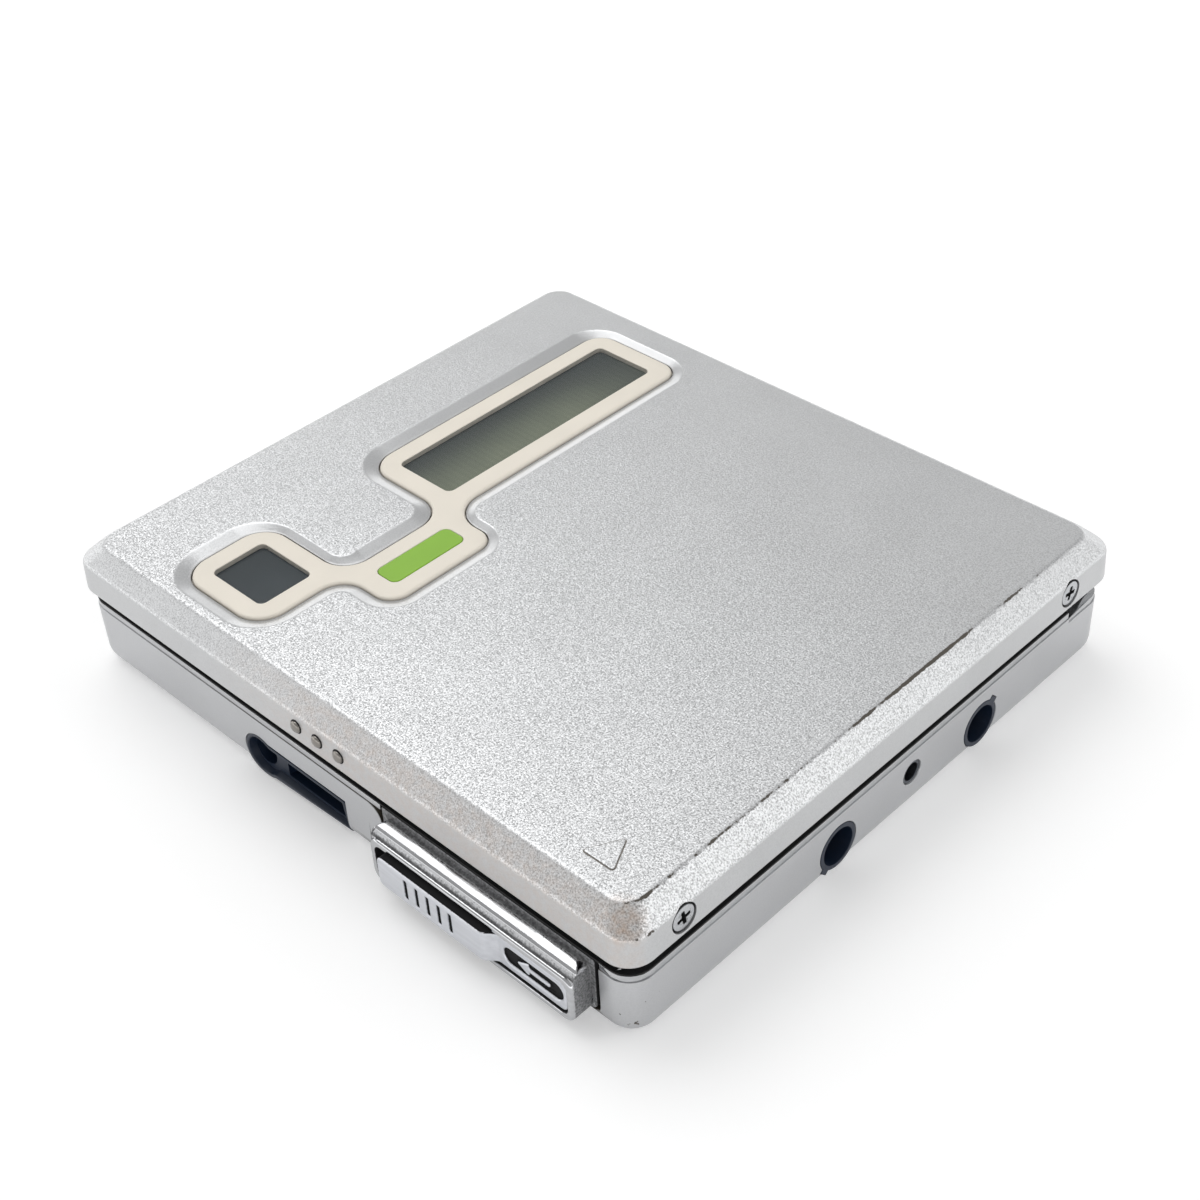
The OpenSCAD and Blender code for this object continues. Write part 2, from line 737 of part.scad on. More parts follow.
module inner_frame() {
    t = 0.6;
    outer_x = in_x - 0.65;
    front_y = -in_y + 0.65;
    jog_x = bar_x - notch_w / 2 - 2;
    back_y = catch_y + catch_t + 0.25;
    top_z = lid_edge_z - 0.3;
    low_z = rim_z - 1.15;
    roof_y = relief_y - 0.3;
    bay_x = door_axis_y + 1.6;
    color("#1b1d20") {
        // Left, right and front upstands; the front one steps back behind the lid catch
        intersection() {
            union() {
                for (s = sides)
                    block([s > 0 ? outer_x - t : -outer_x, front_y, low_z],
                        [s > 0 ? outer_x : -outer_x + t, roof_y, top_z]);
                block([-outer_x, front_y, low_z], [jog_x, front_y + t, top_z]);
                block([jog_x - t, front_y, low_z], [jog_x, back_y + 0.4, top_z]);
                block([jog_x - t, back_y, low_z], [outer_x, back_y + 0.4, top_z]);
            }
            round_plate(2 * outer_x, -2 * front_y, 1.2, lid_edge_z);
        }
        // Roof of the battery bay, and its feet under the side upstands
        difference() {
            block([-outer_x, bay_wall_y, roof_z], [outer_x, roof_y, roof_z + roof_t]);
            block([-outer_x - cut, bay_wall_y - cut, 0], [-outer_x + 1.9, bay_x, base_h * 2]);
        }
        block([outer_x - t, bay_wall_y, roof_z], [outer_x, roof_y, top_z]);
        block([-outer_x, bay_x, roof_z], [-outer_x + t, roof_y, top_z]);
    }
}

module slider_frame() {
    pocket_w = bar_w - 2 * bar_rim;
    pocket_h = bar_h - 2 * bar_rim;
    bar_top = bar_z + bar_h / 2;
    crown = [for (i = [0:9]) [-wall_y - crown_d * i / 9, bar_top - 0.02 + (crown_z - bar_top + 0.02) * cos(10 * i)]];
    color("#d4d6d8") {
        difference() {
            union() {
                // Panel that fills the notch in the base
                intersection() {
                    translate([bar_x, 0, notch_z + base_h / 2])
                        from_front(-wall_y, base_wall)
                            round_rect(notch_w - 2 * notch_gap, base_h - 2 * notch_gap, notch_foot_r - notch_gap);
                    block([-half_w, -half_d, 0], [half_w, half_d, rim_z]);
                }
                block([bar_x - notch_w / 2 + notch_gap, -wall_y, base_h - 2],
                    [bar_x + notch_w / 2 - notch_gap, -in_y, rim_z + rim_h]);
                // Bar that stands out of the panel
                translate([bar_x, 0, bar_z])
                    from_front(bar_y, bar_depth - 0.03)
                        round_rect(bar_w, bar_h, bar_r);
                // Crowned top, which rises from the front of the bar to the rim
                intersection() {
                    translate([bar_x, 0, (bar_z + crown_z) / 2])
                        from_front(bar_y, bar_depth + 0.1)
                            round_rect(bar_w, crown_z - bar_z, crown_r);
                    translate([bar_x - bar_w / 2 - cut, 0, 0])
                        rotate([90, 0, 90])
                            linear_extrude(bar_w + 2 * cut)
                                polygon(concat([[-wall_y + 0.2, bar_z], [-wall_y + 0.2, crown_z]], crown,
                                    [[-wall_y - crown_d, bar_z]]));
                }
                // Root of the bar in the panel
                block([bar_x - bar_w / 2 + bar_r, -wall_y - 0.3, notch_z + notch_gap],
                    [bar_x + bar_w / 2 - bar_r, -wall_y + 0.1, bar_z + bar_h / 2]);
            }
            translate([bar_x, 0, bar_z])
                from_front(bar_y - cut, pocket_depth + cut)
                    round_rect(pocket_w, pocket_h, bar_r - bar_rim / 2);
            // Slot for the slider's stem
            block([stem_x - slider_travel - slider_gap, bar_y, bar_z - stem_h / 2 - slider_gap],
                [stem_x + stem_w + slider_gap, -in_y + cut, bar_z + stem_h / 2 + slider_gap]);
        }
        // Post for the slider's spring
        block([hook_x + hook_w + 0.1 + spring_len, -in_y - seat, bar_z - 0.3],
            [hook_x + hook_w + 1.1 + spring_len, hook_y + 1.6, bar_z + 1.7]);
    }
}

module open_slider() {
    grip_x1 = plate_x0 + grip_len;
    ramp_x1 = grip_x1 + ramp_len;
    mark_x = (ramp_x1 + plate_x1) / 2;
    grip_y = bar_y - grip_proud;
    back_y = plate_y + plate_t;
    rib_t = 0.5;
    ramp = [for (i = [0:8]) [grip_x1 + ramp_len * i / 8, grip_y + (plate_y - grip_y) * (1 - cos(22.5 * i)) / 2]];
    color("#b9bcc0")
        difference() {
            union() {
                // Plate whose left part, the thumb grip, stands out and eases back to the right
                intersection() {
                    translate([(plate_x0 + plate_x1) / 2, 0, bar_z])
                        from_front(grip_y, back_y - grip_y)
                            round_rect(plate_x1 - plate_x0, plate_h, 0.7);
                    translate([0, 0, bar_z - plate_h])
                        linear_extrude(2 * plate_h)
                            polygon(concat([[plate_x0 - cut, back_y + cut], [plate_x0 - cut, grip_y]], ramp,
                                [[plate_x1 + cut, plate_y], [plate_x1 + cut, back_y + cut]]));
                }
                // Stem through the bar
                block([stem_x, plate_y + plate_t - seat, bar_z - stem_h / 2],
                    [stem_x + stem_w, hook_y, bar_z + stem_h / 2]);
            }
            // Grooves of the thumb grip
            for (i = [-2:2])
                block([(plate_x0 + grip_x1) / 2 + i * 1.6 - rib_t / 2, bar_y - grip_proud - cut, bar_z - plate_h / 3],
                    [(plate_x0 + grip_x1) / 2 + i * 1.6 + rib_t / 2, bar_y - grip_proud + 0.25, bar_z + plate_h / 3]);
            // Sunk field of the direction mark
            translate([mark_x, 0, bar_z])
                from_front(plate_y - cut, cut + 0.35)
                    difference() {
                        round_rect(plate_x1 - ramp_x1 - 1, plate_h * 0.56, plate_h * 0.26);
                        polygon([[-2.2, 0], [-0.6, 0.8], [-0.6, 0.25], [2.2, 0.25], [2.2, -0.25], [-0.6, -0.25],
                            [-0.6, -0.8]]);
                    }
        }
}

module latch_hook() {
    nose_w = catch_x - hook_x - 0.3;
    color("#9a9da1") {
        block([hook_x, hook_y, bar_z - stem_h / 2], [hook_x + hook_w, hook_y + hook_t, bar_z + stem_h / 2]);
        block([hook_x, hook_y, bar_z], [hook_x + nose_w, hook_y + hook_t, hook_top]);
        block([hook_x, hook_y, hook_top - 0.8], [hook_x + nose_w, catch_y + catch_t, hook_top]);
    }
}

module slider_spring() {
    color("#b8b9ba")
        rod_x(hook_x + hook_w + seat, hook_x + hook_w + spring_len, hook_y + spring_r, bar_z + 0.7, spring_r);
}

module headphone_jack() {
    face_y = -wall_y + jack_recess;
    body_z0 = base_floor + seat;
    body_z1 = jack_z + jack_r + 0.2;
    slot_x0 = jack_x + jack_r + 1.2;
    slot_x1 = remote_x1 - 0.9;
    slot_depth = 5;
    color("#14171b")
        difference() {
            union() {
                from_front(face_y, base_wall - jack_recess + 0.3)
                    jack_outline(0);
                // Rim that lines the opening in the wall
                from_front(-wall_y + 0.1, jack_recess)
                    difference() {
                        jack_outline(0);
                        offset(delta = -jack_rim)
                            jack_outline(0);
                    }
                block([jack_x - jack_r - 0.3, -in_y + seat, body_z0],
                    [jack_x + jack_r + 0.3, face_y + jack_bore_len + 1, body_z1]);
                block([jack_x, -in_y + seat, body_z0],
                    [remote_x1 + 0.4, face_y + slot_depth + 1.2, jack_z + remote_h / 2 + 0.2]);
            }
            translate([jack_x, face_y - cut, jack_z])
                rotate([-90, 0, 0])
                    cylinder(r = jack_bore_r, h = jack_bore_len + cut);
            block([slot_x0, face_y - cut, jack_z - remote_h / 2 + 0.9],
                [slot_x1, face_y + slot_depth, jack_z + remote_h / 2 - 0.9]);
        }
}

module remote_contacts() {
    slot_x0 = jack_x + jack_r + 1.2;
    slot_x1 = remote_x1 - 0.9;
    pitch = (slot_x1 - slot_x0) / 4;
    back_y = -wall_y + jack_recess + 5;
    color("#c9a45c")
        for (i = [0:3])
            block([slot_x0 + (i + 0.5) * pitch - 0.4, back_y - 3.6, jack_z - 0.12],
                [slot_x0 + (i + 0.5) * pitch + 0.4, back_y, jack_z + 0.12]);
}

module terminal_bushes() {
    bush_l = well_depth + 0.8;
    color("#16191d")
        for (s = sides)
            translate([wall_x - bush_l, term_y + s * term_pitch / 2, term_z])
                rotate([90, 0, 90])
                    difference() {
                        union() {
                            cylinder(r = term_r, h = bush_l);
                            translate([0, 0, bush_l - base_wall])
                                linear_extrude(base_wall)
                                    term_outline(0, 135 - s * 90);
                        }
                        translate([0, 0, bush_l - well_depth])
                            cylinder(r = well_r, h = well_depth + cut);
                        translate([0, 0, bush_l - well_depth - contact_t])
                            cylinder(r = contact_r + 0.02, h = contact_t + cut);
                    }
}

module terminal_contacts() {
    color("#b5763f")
        for (s = sides)
            rod_x(wall_x - well_depth - contact_t, wall_x - well_depth, term_y + s * term_pitch / 2, term_z, contact_r);
}

module case_screw_insert() {
    color("#c2a878")
        difference() {
            union() {
                rod_x(in_x - 3, in_x - seat, term_y, case_z, case_hole_r + 0.45);
                // Nose that reaches through the wall
                rod_x(in_x - 3, wall_x - 0.15, term_y, case_z, case_hole_r - seat);
            }
            rod_x(in_x - 3 - cut, wall_x + cut, term_y, case_z, case_bore_r);
        }
}

module battery() {
    color("#7d8fa3") {
        translate([battery_x + battery_l / 2, battery_y, battery_z])
            rotate([0, 90, 0])
                translate([-battery_t / 2, 0, -battery_l / 2])
                    round_plate(battery_t, battery_w, 1.2, battery_l);
        rod_x(battery_x + battery_l - seat, battery_x + battery_l + 0.3, battery_y, battery_z + battery_t / 2, 1.8);
    }
}

module battery_contact() {
    color("#c6c3b4")
        block([bay_end_x - 0.4, battery_y - 4, battery_z + 1], [bay_end_x, battery_y + 4, battery_z + battery_t - 1.6]);
}

module battery_door() {
    color("#c3c4c5") {
        intersection() {
            base_outside();
            union() {
                block([-wall_x - cut, door_axis_y + 1, door_z0], [-in_x, door_y1, door_z1]);
                block([-wall_x + 0.3, door_axis_y, knuckle_z0], [-in_x, door_y1, knuckle_z1]);
            }
        }
        translate([door_axis_x, door_axis_y, knuckle_z0])
            cylinder(r = door_knuckle_r, h = knuckle_z1 - knuckle_z0);
        translate([door_axis_x, door_axis_y, base_floor + 0.2])
            cylinder(r = door_pin_r, h = roof_z - base_floor - 0.4);
    }
}

module door_contact() {
    color("#c6c3b4")
        translate([-in_x, battery_y, battery_z + battery_t / 2])
            rotate([0, 90, 0])
                cylinder(r1 = 2.4, r2 = 1.4, h = battery_x + in_x - 0.3);
}

module main_board() {
    left_x = key_board_x + key_board_t + 0.4;
    back_y = bay_wall_y - 0.3;
    front_y = -wall_y + jack_recess + jack_bore_len + 1.6;
    color("#2f6b4a")
        difference() {
            union() {
                block([left_x, front_y, board_z], [gear_x - 2.6, back_y, board_z + board_t]);
                block([left_x, -in_y + 1, board_z], [jack_x - jack_r - 1, front_y + seat, board_z + board_t]);
            }
            for (at = damper_at)
                translate([at[0], at[1], 0])
                    cylinder(r = post_r + 0.3, h = base_h);
            for (at = bottom_at)
                translate([at[0], at[1], 0])
                    cylinder(r = boss_r + 0.3, h = base_h);
        }
}

module board_chips() {
    chip_z = board_z + board_t;
    color("#24262a")
        for (chip = [[-in_x + 17.5, -2, 12, 12, 1.3], [-in_x + 15.5, -in_y + 19.1, 9, 9, 1.1],
            [-in_x + 23.5, bay_wall_y - 5, 7, 5, 1.6], [-in_x + 10.1, -in_y + 6.1, 5, 6, 2.4],
            [-in_x + 27.5, -in_y + 22.1, 4, 4, 1], [-in_x + 19.5, -in_y + 5.1, 6, 4, 1.8]])
            translate([chip[0], chip[1], chip_z])
                block([-chip[2] / 2, -chip[3] / 2, 0], [chip[2] / 2, chip[3] / 2, chip[4]]);
}

module key_board() {
    switch_l = 0.9;
    color("#3a6f52") {
        block([key_board_x, play_y - 5, base_floor + seat], [key_board_x + key_board_t, hold_y + 4, rim_z - 2.2]);
        for (y = [play_y, stop_y, volume_y - 4, volume_y + 4, hold_y + hold_travel / 2])
            block([key_board_x - switch_l, y - 1.4, key_z - 0.9], [key_board_x + seat, y + 1.4, key_z + 0.9]);
    }
}

module play_key() {
    color("#b9bbbd")
        key_cap(play_y, play_l);
}

module stop_key() {
    color("#b9bbbd")
        key_cap(stop_y, stop_l);
}

module volume_rocker() {
    tilt_room = 0.3;
    color("#b9bbbd") {
        block([-wall_x - key_proud, volume_y - volume_l / 2, key_z - key_h / 2],
            [-in_x + tilt_room + 0.1, volume_y + volume_l / 2, key_z + key_h / 2]);
        // Pivot bar that bears on the inside of the wall
        block([-in_x + tilt_room, volume_y - 1, key_z - key_h / 2 - 0.7],
            [-in_x + tilt_room + 0.3, volume_y + 1, key_z + key_h / 2 + 0.7]);
    }
}

module hold_switch() {
    color("#8d9093") {
        key_cap(hold_y, hold_l);
        for (i = [-1:1])
            block([-wall_x - key_proud - 0.05, hold_y + i * 0.9 - 0.15, key_z - key_h / 3],
                [-wall_x, hold_y + i * 0.9 + 0.15, key_z + key_h / 3]);
    }
}

module mechanism_deck() {
    tab_low = axis_z - 1.4;
    right_x = far_tab_x + tab_t;
    hole_x = deck_left + 7;
    color("#b4b7ba")
        difference() {
            union() {
                block([deck_left, deck_front, deck_z], [right_x, deck_back, deck_top]);
                for (x = [rod_tab_x, far_tab_x])
                    block([x, rod_y - 1.3, tab_low], [x + tab_t, rod_y + 1.3, deck_z + 0.1]);
                for (x = [screw_tab_x, far_tab_x])
                    block([x, screw_y - 1.5, tab_low], [x + tab_t, screw_y + 1.5, deck_z + 0.1]);
            }
            // Way of the lens turret
            block([lens_r_in - turret / 2 - 0.5, disc_y - turret / 2 - 0.6, deck_z - cut],
                [lens_r_in + sled_travel + turret / 2 + 0.5, disc_y + turret / 2 + 0.6, deck_top + cut]);
            translate([0, disc_y, deck_z - cut])
                cylinder(r = 3.2, h = deck_t + 2 * cut);
            for (at = damper_at)
                translate([at[0], at[1], deck_z - cut])
                    cylinder(r = damper_neck_r + 0.1, h = deck_t + 2 * cut);
            // Weight-saving windows
            block([hole_x, deck_front + 10, deck_z - cut], [hole_x + 12, -8, deck_top + cut]);
            block([hole_x, -4, deck_z - cut], [hole_x + 12, deck_back - 7.7, deck_top + cut]);
            block([8, deck_front + 4, deck_z - cut], [26, deck_front + 16, deck_top + cut]);
            rod_x(gear_x - 5, right_x + cut, rod_y, axis_z, rod_r + 0.02);
            rod_x(gear_x - 5, right_x + cut, screw_y, axis_z, screw_r + run_gap);
        }
}

module deck_dampers() {
    flange = 0.7;
    color("#2a2b2d")
        for (at = damper_at)
            translate([at[0], at[1], deck_z - flange - seat])
                difference() {
                    union() {
                        cylinder(r = damper_r, h = flange);
                        cylinder(r = damper_neck_r, h = deck_t + 2 * flange + 2 * seat);
                        translate([0, 0, deck_t + flange + 2 * seat])
                            cylinder(r = damper_r, h = flange);
                    }
                    translate([0, 0, -cut])
                        cylinder(r = small_shank_r + 0.1, h = deck_t + 2 * flange + 2 * cut);
                }
}

module damper_screws() {
    head_z = deck_top + 0.8;
    color("#c9cbcd")
        for (at = damper_at)
            translate([at[0], at[1], 0]) {
                translate([0, 0, head_z])
                    cylinder(r = 1.5, h = 0.4);
                translate([0, 0, base_floor + 1.2])
                    cylinder(r = small_shank_r, h = head_z - base_floor - 1.1);
            }
}

module spindle_motor() {
    color("#8e9296")
        difference() {
            union() {
                translate([0, disc_y, deck_z - motor_h])
                    cylinder(r = motor_r, h = motor_h - seat);
                translate([0, disc_y, deck_z - 0.2])
                    cylinder(r = 2.6, h = deck_t + 0.3);
            }
            translate([0, disc_y, deck_z - motor_h + 0.4])
                cylinder(r = spindle_r + run_gap, h = base_h);
        }
}

module turntable() {
    hub_z = deck_top + 0.4;
    color("#5c6065")
        translate([0, disc_y, 0]) {
            translate([0, 0, deck_z - motor_h + 0.6])
                cylinder(r = spindle_r, h = cart_z + 0.6 - deck_z + motor_h - 0.6);
            translate([0, 0, hub_z])
                cylinder(r = turntable_r, h = 0.7);
            translate([0, 0, hub_z])
                cylinder(r1 = 2, r2 = 1.7, h = cart_z - hub_z + 0.4);
        }
}

module guide_rod() {
    color("#d0d2d4")
        rod_x(rod_tab_x, far_tab_x + tab_t, rod_y, axis_z, rod_r);
}

module lead_screw() {
    color("#c7c9cb") {
        rod_x(gear_x, far_tab_x + tab_t, screw_y, axis_z, screw_r);
        spur_gear(gear_x, screw_y, gear_teeth, gear_w);
    }
}

module sled_motor() {
    color("#a9acaf")
        difference() {
            rod_x(sled_motor_x, sled_motor_x + sled_motor_l, pinion_y, axis_z, sled_motor_r);
            rod_x(sled_motor_x - cut, sled_motor_x + 2, pinion_y, axis_z, 0.4 + run_gap);
        }
}

module motor_pinion() {
    color("#c9a45c") {
        spur_gear(gear_x, pinion_y, pinion_teeth, gear_w);
        rod_x(gear_x, sled_motor_x + 1.8, pinion_y, axis_z, 0.4);
    }
}

module sled() {
    lens_x = lens_r_in;
    color("#3c4046")
        difference() {
            union() {
                block([sled_x0, rod_y - 1.5, sled_z0], [sled_x1, screw_y - 2.3, sled_z1]);
                // Turret round the lens
                block([lens_x - turret / 2, disc_y - turret / 2, sled_z1 - seat],
                    [lens_x + turret / 2, disc_y + turret / 2, deck_top + 0.2]);
                // Finger that follows the lead screw
                block([lens_x - 1.2, screw_y - 2.4, axis_z - 0.8], [lens_x + 1.2, screw_y - screw_r - 0.15, axis_z + 0.8]);
            }
            rod_x(sled_x0 - cut, sled_x1 + cut, rod_y, axis_z, rod_r + run_gap);
            translate([lens_x, disc_y, 0])
                block([-lens_size / 2 - lens_gap, -lens_size / 2 - lens_gap, sled_z1 - 0.4],
                    [lens_size / 2 + lens_gap, lens_size / 2 + lens_gap, base_h * 2]);
            block([sled_x1 - 3, disc_y - 2.5, sled_z0 - cut], [sled_x1 + cut, disc_y + 2.5, sled_z1 - 0.6]);
        }
}

module laser_unit() {
    color("#c9a45c")
        block([sled_x1 - 3 + seat, disc_y - 2.2, sled_z0 + 0.3], [sled_x1 - 0.2, disc_y + 2.2, sled_z1 - 0.6 - seat]);
}

module objective_lens() {
    color("#39424f")
        translate([lens_r_in, disc_y, 0]) {
            block([-lens_size / 2, -lens_size / 2, sled_z1], [lens_size / 2, lens_size / 2, deck_top + 0.3]);
            translate([0, 0, deck_top + 0.25])
                cylinder(r1 = 1.3, r2 = 0.9, h = 0.25);
        }
}

module bottom_screws() {
    color("#c9cbcd")
        for (at = bottom_at)
            translate([at[0], at[1], 0.05])
                mirror([0, 0, 1])
                    flat_screw(bottom_head_r, small_shank_r, 4.2);
}

module hinge_pins() {
    color("#c7c9cb")
        for (s = sides)
            rod_x(s > 0 ? base_lug_x - 3.8 : -lid_lug_x - lug_t, s > 0 ? lid_lug_x + lug_t : -base_lug_x,
                hinge_y, hinge_z, hinge_pin_r);
}

module lid_spring() {
    color("#aeb0b2")
        difference() {
            rod_x(base_lug_x - 3.6, base_lug_x - 0.1, hinge_y, hinge_z, hinge_pin_r + 0.7);
            rod_x(base_lug_x - 5, base_lug_x + cut, hinge_y, hinge_z, hinge_pin_r + run_gap);
        }
}

module lid_shell() {
    mark_w = 3.9;
    mark_l = 3.7;
    mark_x = half_w - 8.3;
    mark_y = -half_d + 4.75;
    color("#cfd0d2") {
        difference() {
            lid_form(0, lid_edge_z, lid_top_z);
            lid_form(lid_wall, lid_edge_z - cut, ceiling_z);
            // Opening and sloping recess of the display bezel
            translate([0, 0, ceiling_z - cut])
                linear_extrude(lid_skin + 2 * cut)
                    bezel_outline(0.1);
            recess_slopes();
            at_lid_screws()
                screw_seat(screw_head_r, small_shank_r, lid_wall + cut);
            for (i = [-1:1])
                translate([dome_x + i * dome_pitch, -half_d - cut, dome_z])
                    rotate([-90, 0, 0])
                        cylinder(r = dome_r + 0.02, h = lid_wall + 2 * cut);
        }
        // Insert-direction mark
        translate([mark_x, mark_y, lid_top_z - seat])
            linear_extrude(0.12 + seat)
                polygon([[-mark_w / 2, 0], [mark_w / 2, 0], [0, mark_l]]);
        // Hinge lugs, joined to the side walls
        for (s = sides)
            mirror([s > 0 ? 0 : 1, 0, 0])
                difference() {
                    union() {
                        rod_x(lid_lug_x, lid_lug_x + lug_t, hinge_y, hinge_z, lug_r);
                        block([lid_lug_x, hinge_y - lug_r, hinge_z], [lid_lug_x + lug_t, hinge_y + lug_r, crease_z - 0.4]);
                        block([lid_lug_x, hinge_y - lug_r, lid_edge_z + 0.5],
                            [half_w - lid_wall / 2, hinge_y + lug_r / 3, crease_z - 0.4]);
                    }
                    rod_x(lid_lug_x - cut, half_w, hinge_y, hinge_z, hinge_pin_r + run_gap);
                }
    }
}

module display_bezel() {
    color("#d8d1c5")
        difference() {
            union() {
                translate([0, 0, flange_z])
                    linear_extrude(lid_top_z - bezel_drop - flange_z)
                        bezel_outline();
                translate([0, 0, flange_z])
                    linear_extrude(flange_t)
                        bezel_outline(0.8);
            }
            translate([0, 0, flange_z - cut])
                linear_extrude(lid_skin + 3 * cut) {
                    lcd_hole();
                    icon_hole();
                    pill_hole();
                }
        }
}

module lcd_window() {
    color("#5f645c")
        translate([0, 0, flange_z])
            linear_extrude(lid_top_z - bezel_drop - 0.06 - flange_z)
                lcd_hole(seat);
}

module icon_window() {
    color("#565b5e")
        translate([0, 0, flange_z])
            linear_extrude(lid_top_z - bezel_drop - 0.06 - flange_z)
                icon_hole(seat);
}

module indicator_lens() {
    color("#8fbb45")
        translate([0, 0, flange_z])
            linear_extrude(lid_top_z - bezel_drop + 0.02 - flange_z)
                pill_hole(seat);
}

module lcd_panel() {
    color("#6a7062")
        translate([lcd_x, lcd_y, panel_z])
            block([-lcd_w / 2 - 1, -lcd_l / 2 - 1, 0], [lcd_w / 2 + 1, lcd_l / 2 + 1, panel_t]);
}

module icon_panel() {
    color("#4f5558")
        translate([icon_x, icon_y, panel_z])
            block([-icon_w / 2 - 1, -icon_l / 2 - 1, 0], [icon_w / 2 + 1, icon_l / 2 + 1, panel_t]);
}

module lid_board() {
    color("#2f6b4a") {
        block([lcd_x - lcd_w / 2 - 3, icon_y - icon_l / 2 - 2, lid_board_z],
            [pill_x + pill_w / 2 + 2, lcd_y + lcd_l / 2 + 2, lid_board_z + lid_board_t]);
        // Indicator lamp
        block([pill_x - 0.6, pill_y - 1.2, lid_board_z], [pill_x + 0.6, pill_y + 1.2, flange_z - seat]);
    }
}

module disc_holder() {
    side_x = cart_w / 2 + 0.3;
    front_y = disc_y - cart_d / 2;
    back_y = disc_y + cart_d / 2;
    ear_x = half_w - lid_wall - lid_draft - 0.1;
    ear_t = 0.9;
    ear_z = lid_edge_z + 0.3;
    rail = 3;
    color("#aeb2b6")
        difference() {
            union() {
                // Top plate, side walls, bottom rails and back stop
                block([-side_x - holder_t, front_y, holder_top_z], [side_x + holder_t, back_y, holder_top_z + holder_t]);
                for (s = sides) {
                    block([min(s * side_x, s * (side_x + holder_t)), front_y, holder_z],
                        [max(s * side_x, s * (side_x + holder_t)), back_y, holder_top_z + holder_t]);
                    block([min(s * (side_x - rail), s * (side_x + holder_t)), front_y, holder_z],
                        [max(s * (side_x - rail), s * (side_x + holder_t)), back_y, cart_z]);
                    // Ears that take the lid screws
                    for (y = lid_screw_y) {
                        block([min(s * side_x, s * ear_x), y - 2.2, ear_z],
                            [max(s * side_x, s * ear_x), y + 2.2, ear_z + holder_t]);
                        block([min(s * (ear_x - ear_t), s * ear_x), y - 2.2, ear_z],
                            [max(s * (ear_x - ear_t), s * ear_x), y + 2.2, holder_top_z + holder_t]);
                    }
                }
                block([-side_x - holder_t, back_y - seat, holder_z],
                    [side_x + holder_t, back_y + holder_t, holder_top_z + holder_t]);
            }
            // Window in the top plate
            block([-26, front_y + 12, holder_top_z - cut], [26, back_y - 12, holder_top_z + holder_t + cut]);
            for (s = sides, y = lid_screw_y)
                rod_x(min(s * (ear_x - 2 * ear_t), s * half_w), max(s * (ear_x - 2 * ear_t), s * half_w), y, lid_screw_z,
                    small_shank_r + 0.02);
        }
}

module lid_screws() {
    color("#cfd1d3")
        at_lid_screws()
            flat_screw(screw_head_r, small_shank_r, 2.2);
}

module lid_domes() {
    color("#d9dbdd")
        for (i = [-1:1])
            translate([dome_x + i * dome_pitch, -half_d, dome_z])
                rotate([90, 0, 0]) {
                    translate([0, 0, -0.8])
                        cylinder(r = dome_r, h = 0.8);
                    intersection() {
                        translate([0, 0, -dome_r * 0.75])
                            sphere(r = dome_r * 1.25, $fn = 32);
                        translate([0, 0, -0.1])
                            cylinder(r = dome_r, h = dome_r);
                    }
                }
}

module lid_catch() {
    color("#9a9da1") {
        block([catch_x, -half_d + lid_wall + lid_draft + 0.02, lid_edge_z + 0.5],
            [catch_x + catch_w, catch_y + catch_t, holder_top_z - 0.3]);
        difference() {
            block([catch_x, catch_y, hook_top - 2], [catch_x + catch_w, catch_y + catch_t, lid_edge_z + 1]);
            block([catch_x - cut, catch_y - cut, hook_top - 1.1], [catch_x + 1.2, catch_y + cut, hook_top + 0.3]);
        }
    }
}

base_shell();
mid_frame();
inner_frame();
slider_frame();
open_slider();
latch_hook();
slider_spring();
headphone_jack();
remote_contacts();
terminal_bushes();
terminal_contacts();
case_screw_insert();
battery();
battery_contact();
battery_door();
door_contact();
main_board();
board_chips();
key_board();
play_key();
stop_key();
volume_rocker();
hold_switch();
mechanism_deck();
deck_dampers();
damper_screws();
spindle_motor();
turntable();
guide_rod();
lead_screw();
sled_motor();
motor_pinion();
sled();
laser_unit();
objective_lens();
bottom_screws();
hinge_pins();
lid_spring();
lid_shell();
display_bezel();
lcd_window();
icon_window();
indicator_lens();
lcd_panel();
icon_panel();
lid_board();
disc_holder();
lid_screws();
lid_domes();
lid_catch();
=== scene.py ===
"""Looks of a portable minidisc player: lacquered lid and base, chrome bar, bezel and mechanism."""

import json
import logging
import math
from dataclasses import dataclass, field
from enum import Enum
from functools import reduce
from typing import Any, Callable, Iterable, Sequence

import bmesh
import bpy
from mathutils import Matrix, Vector

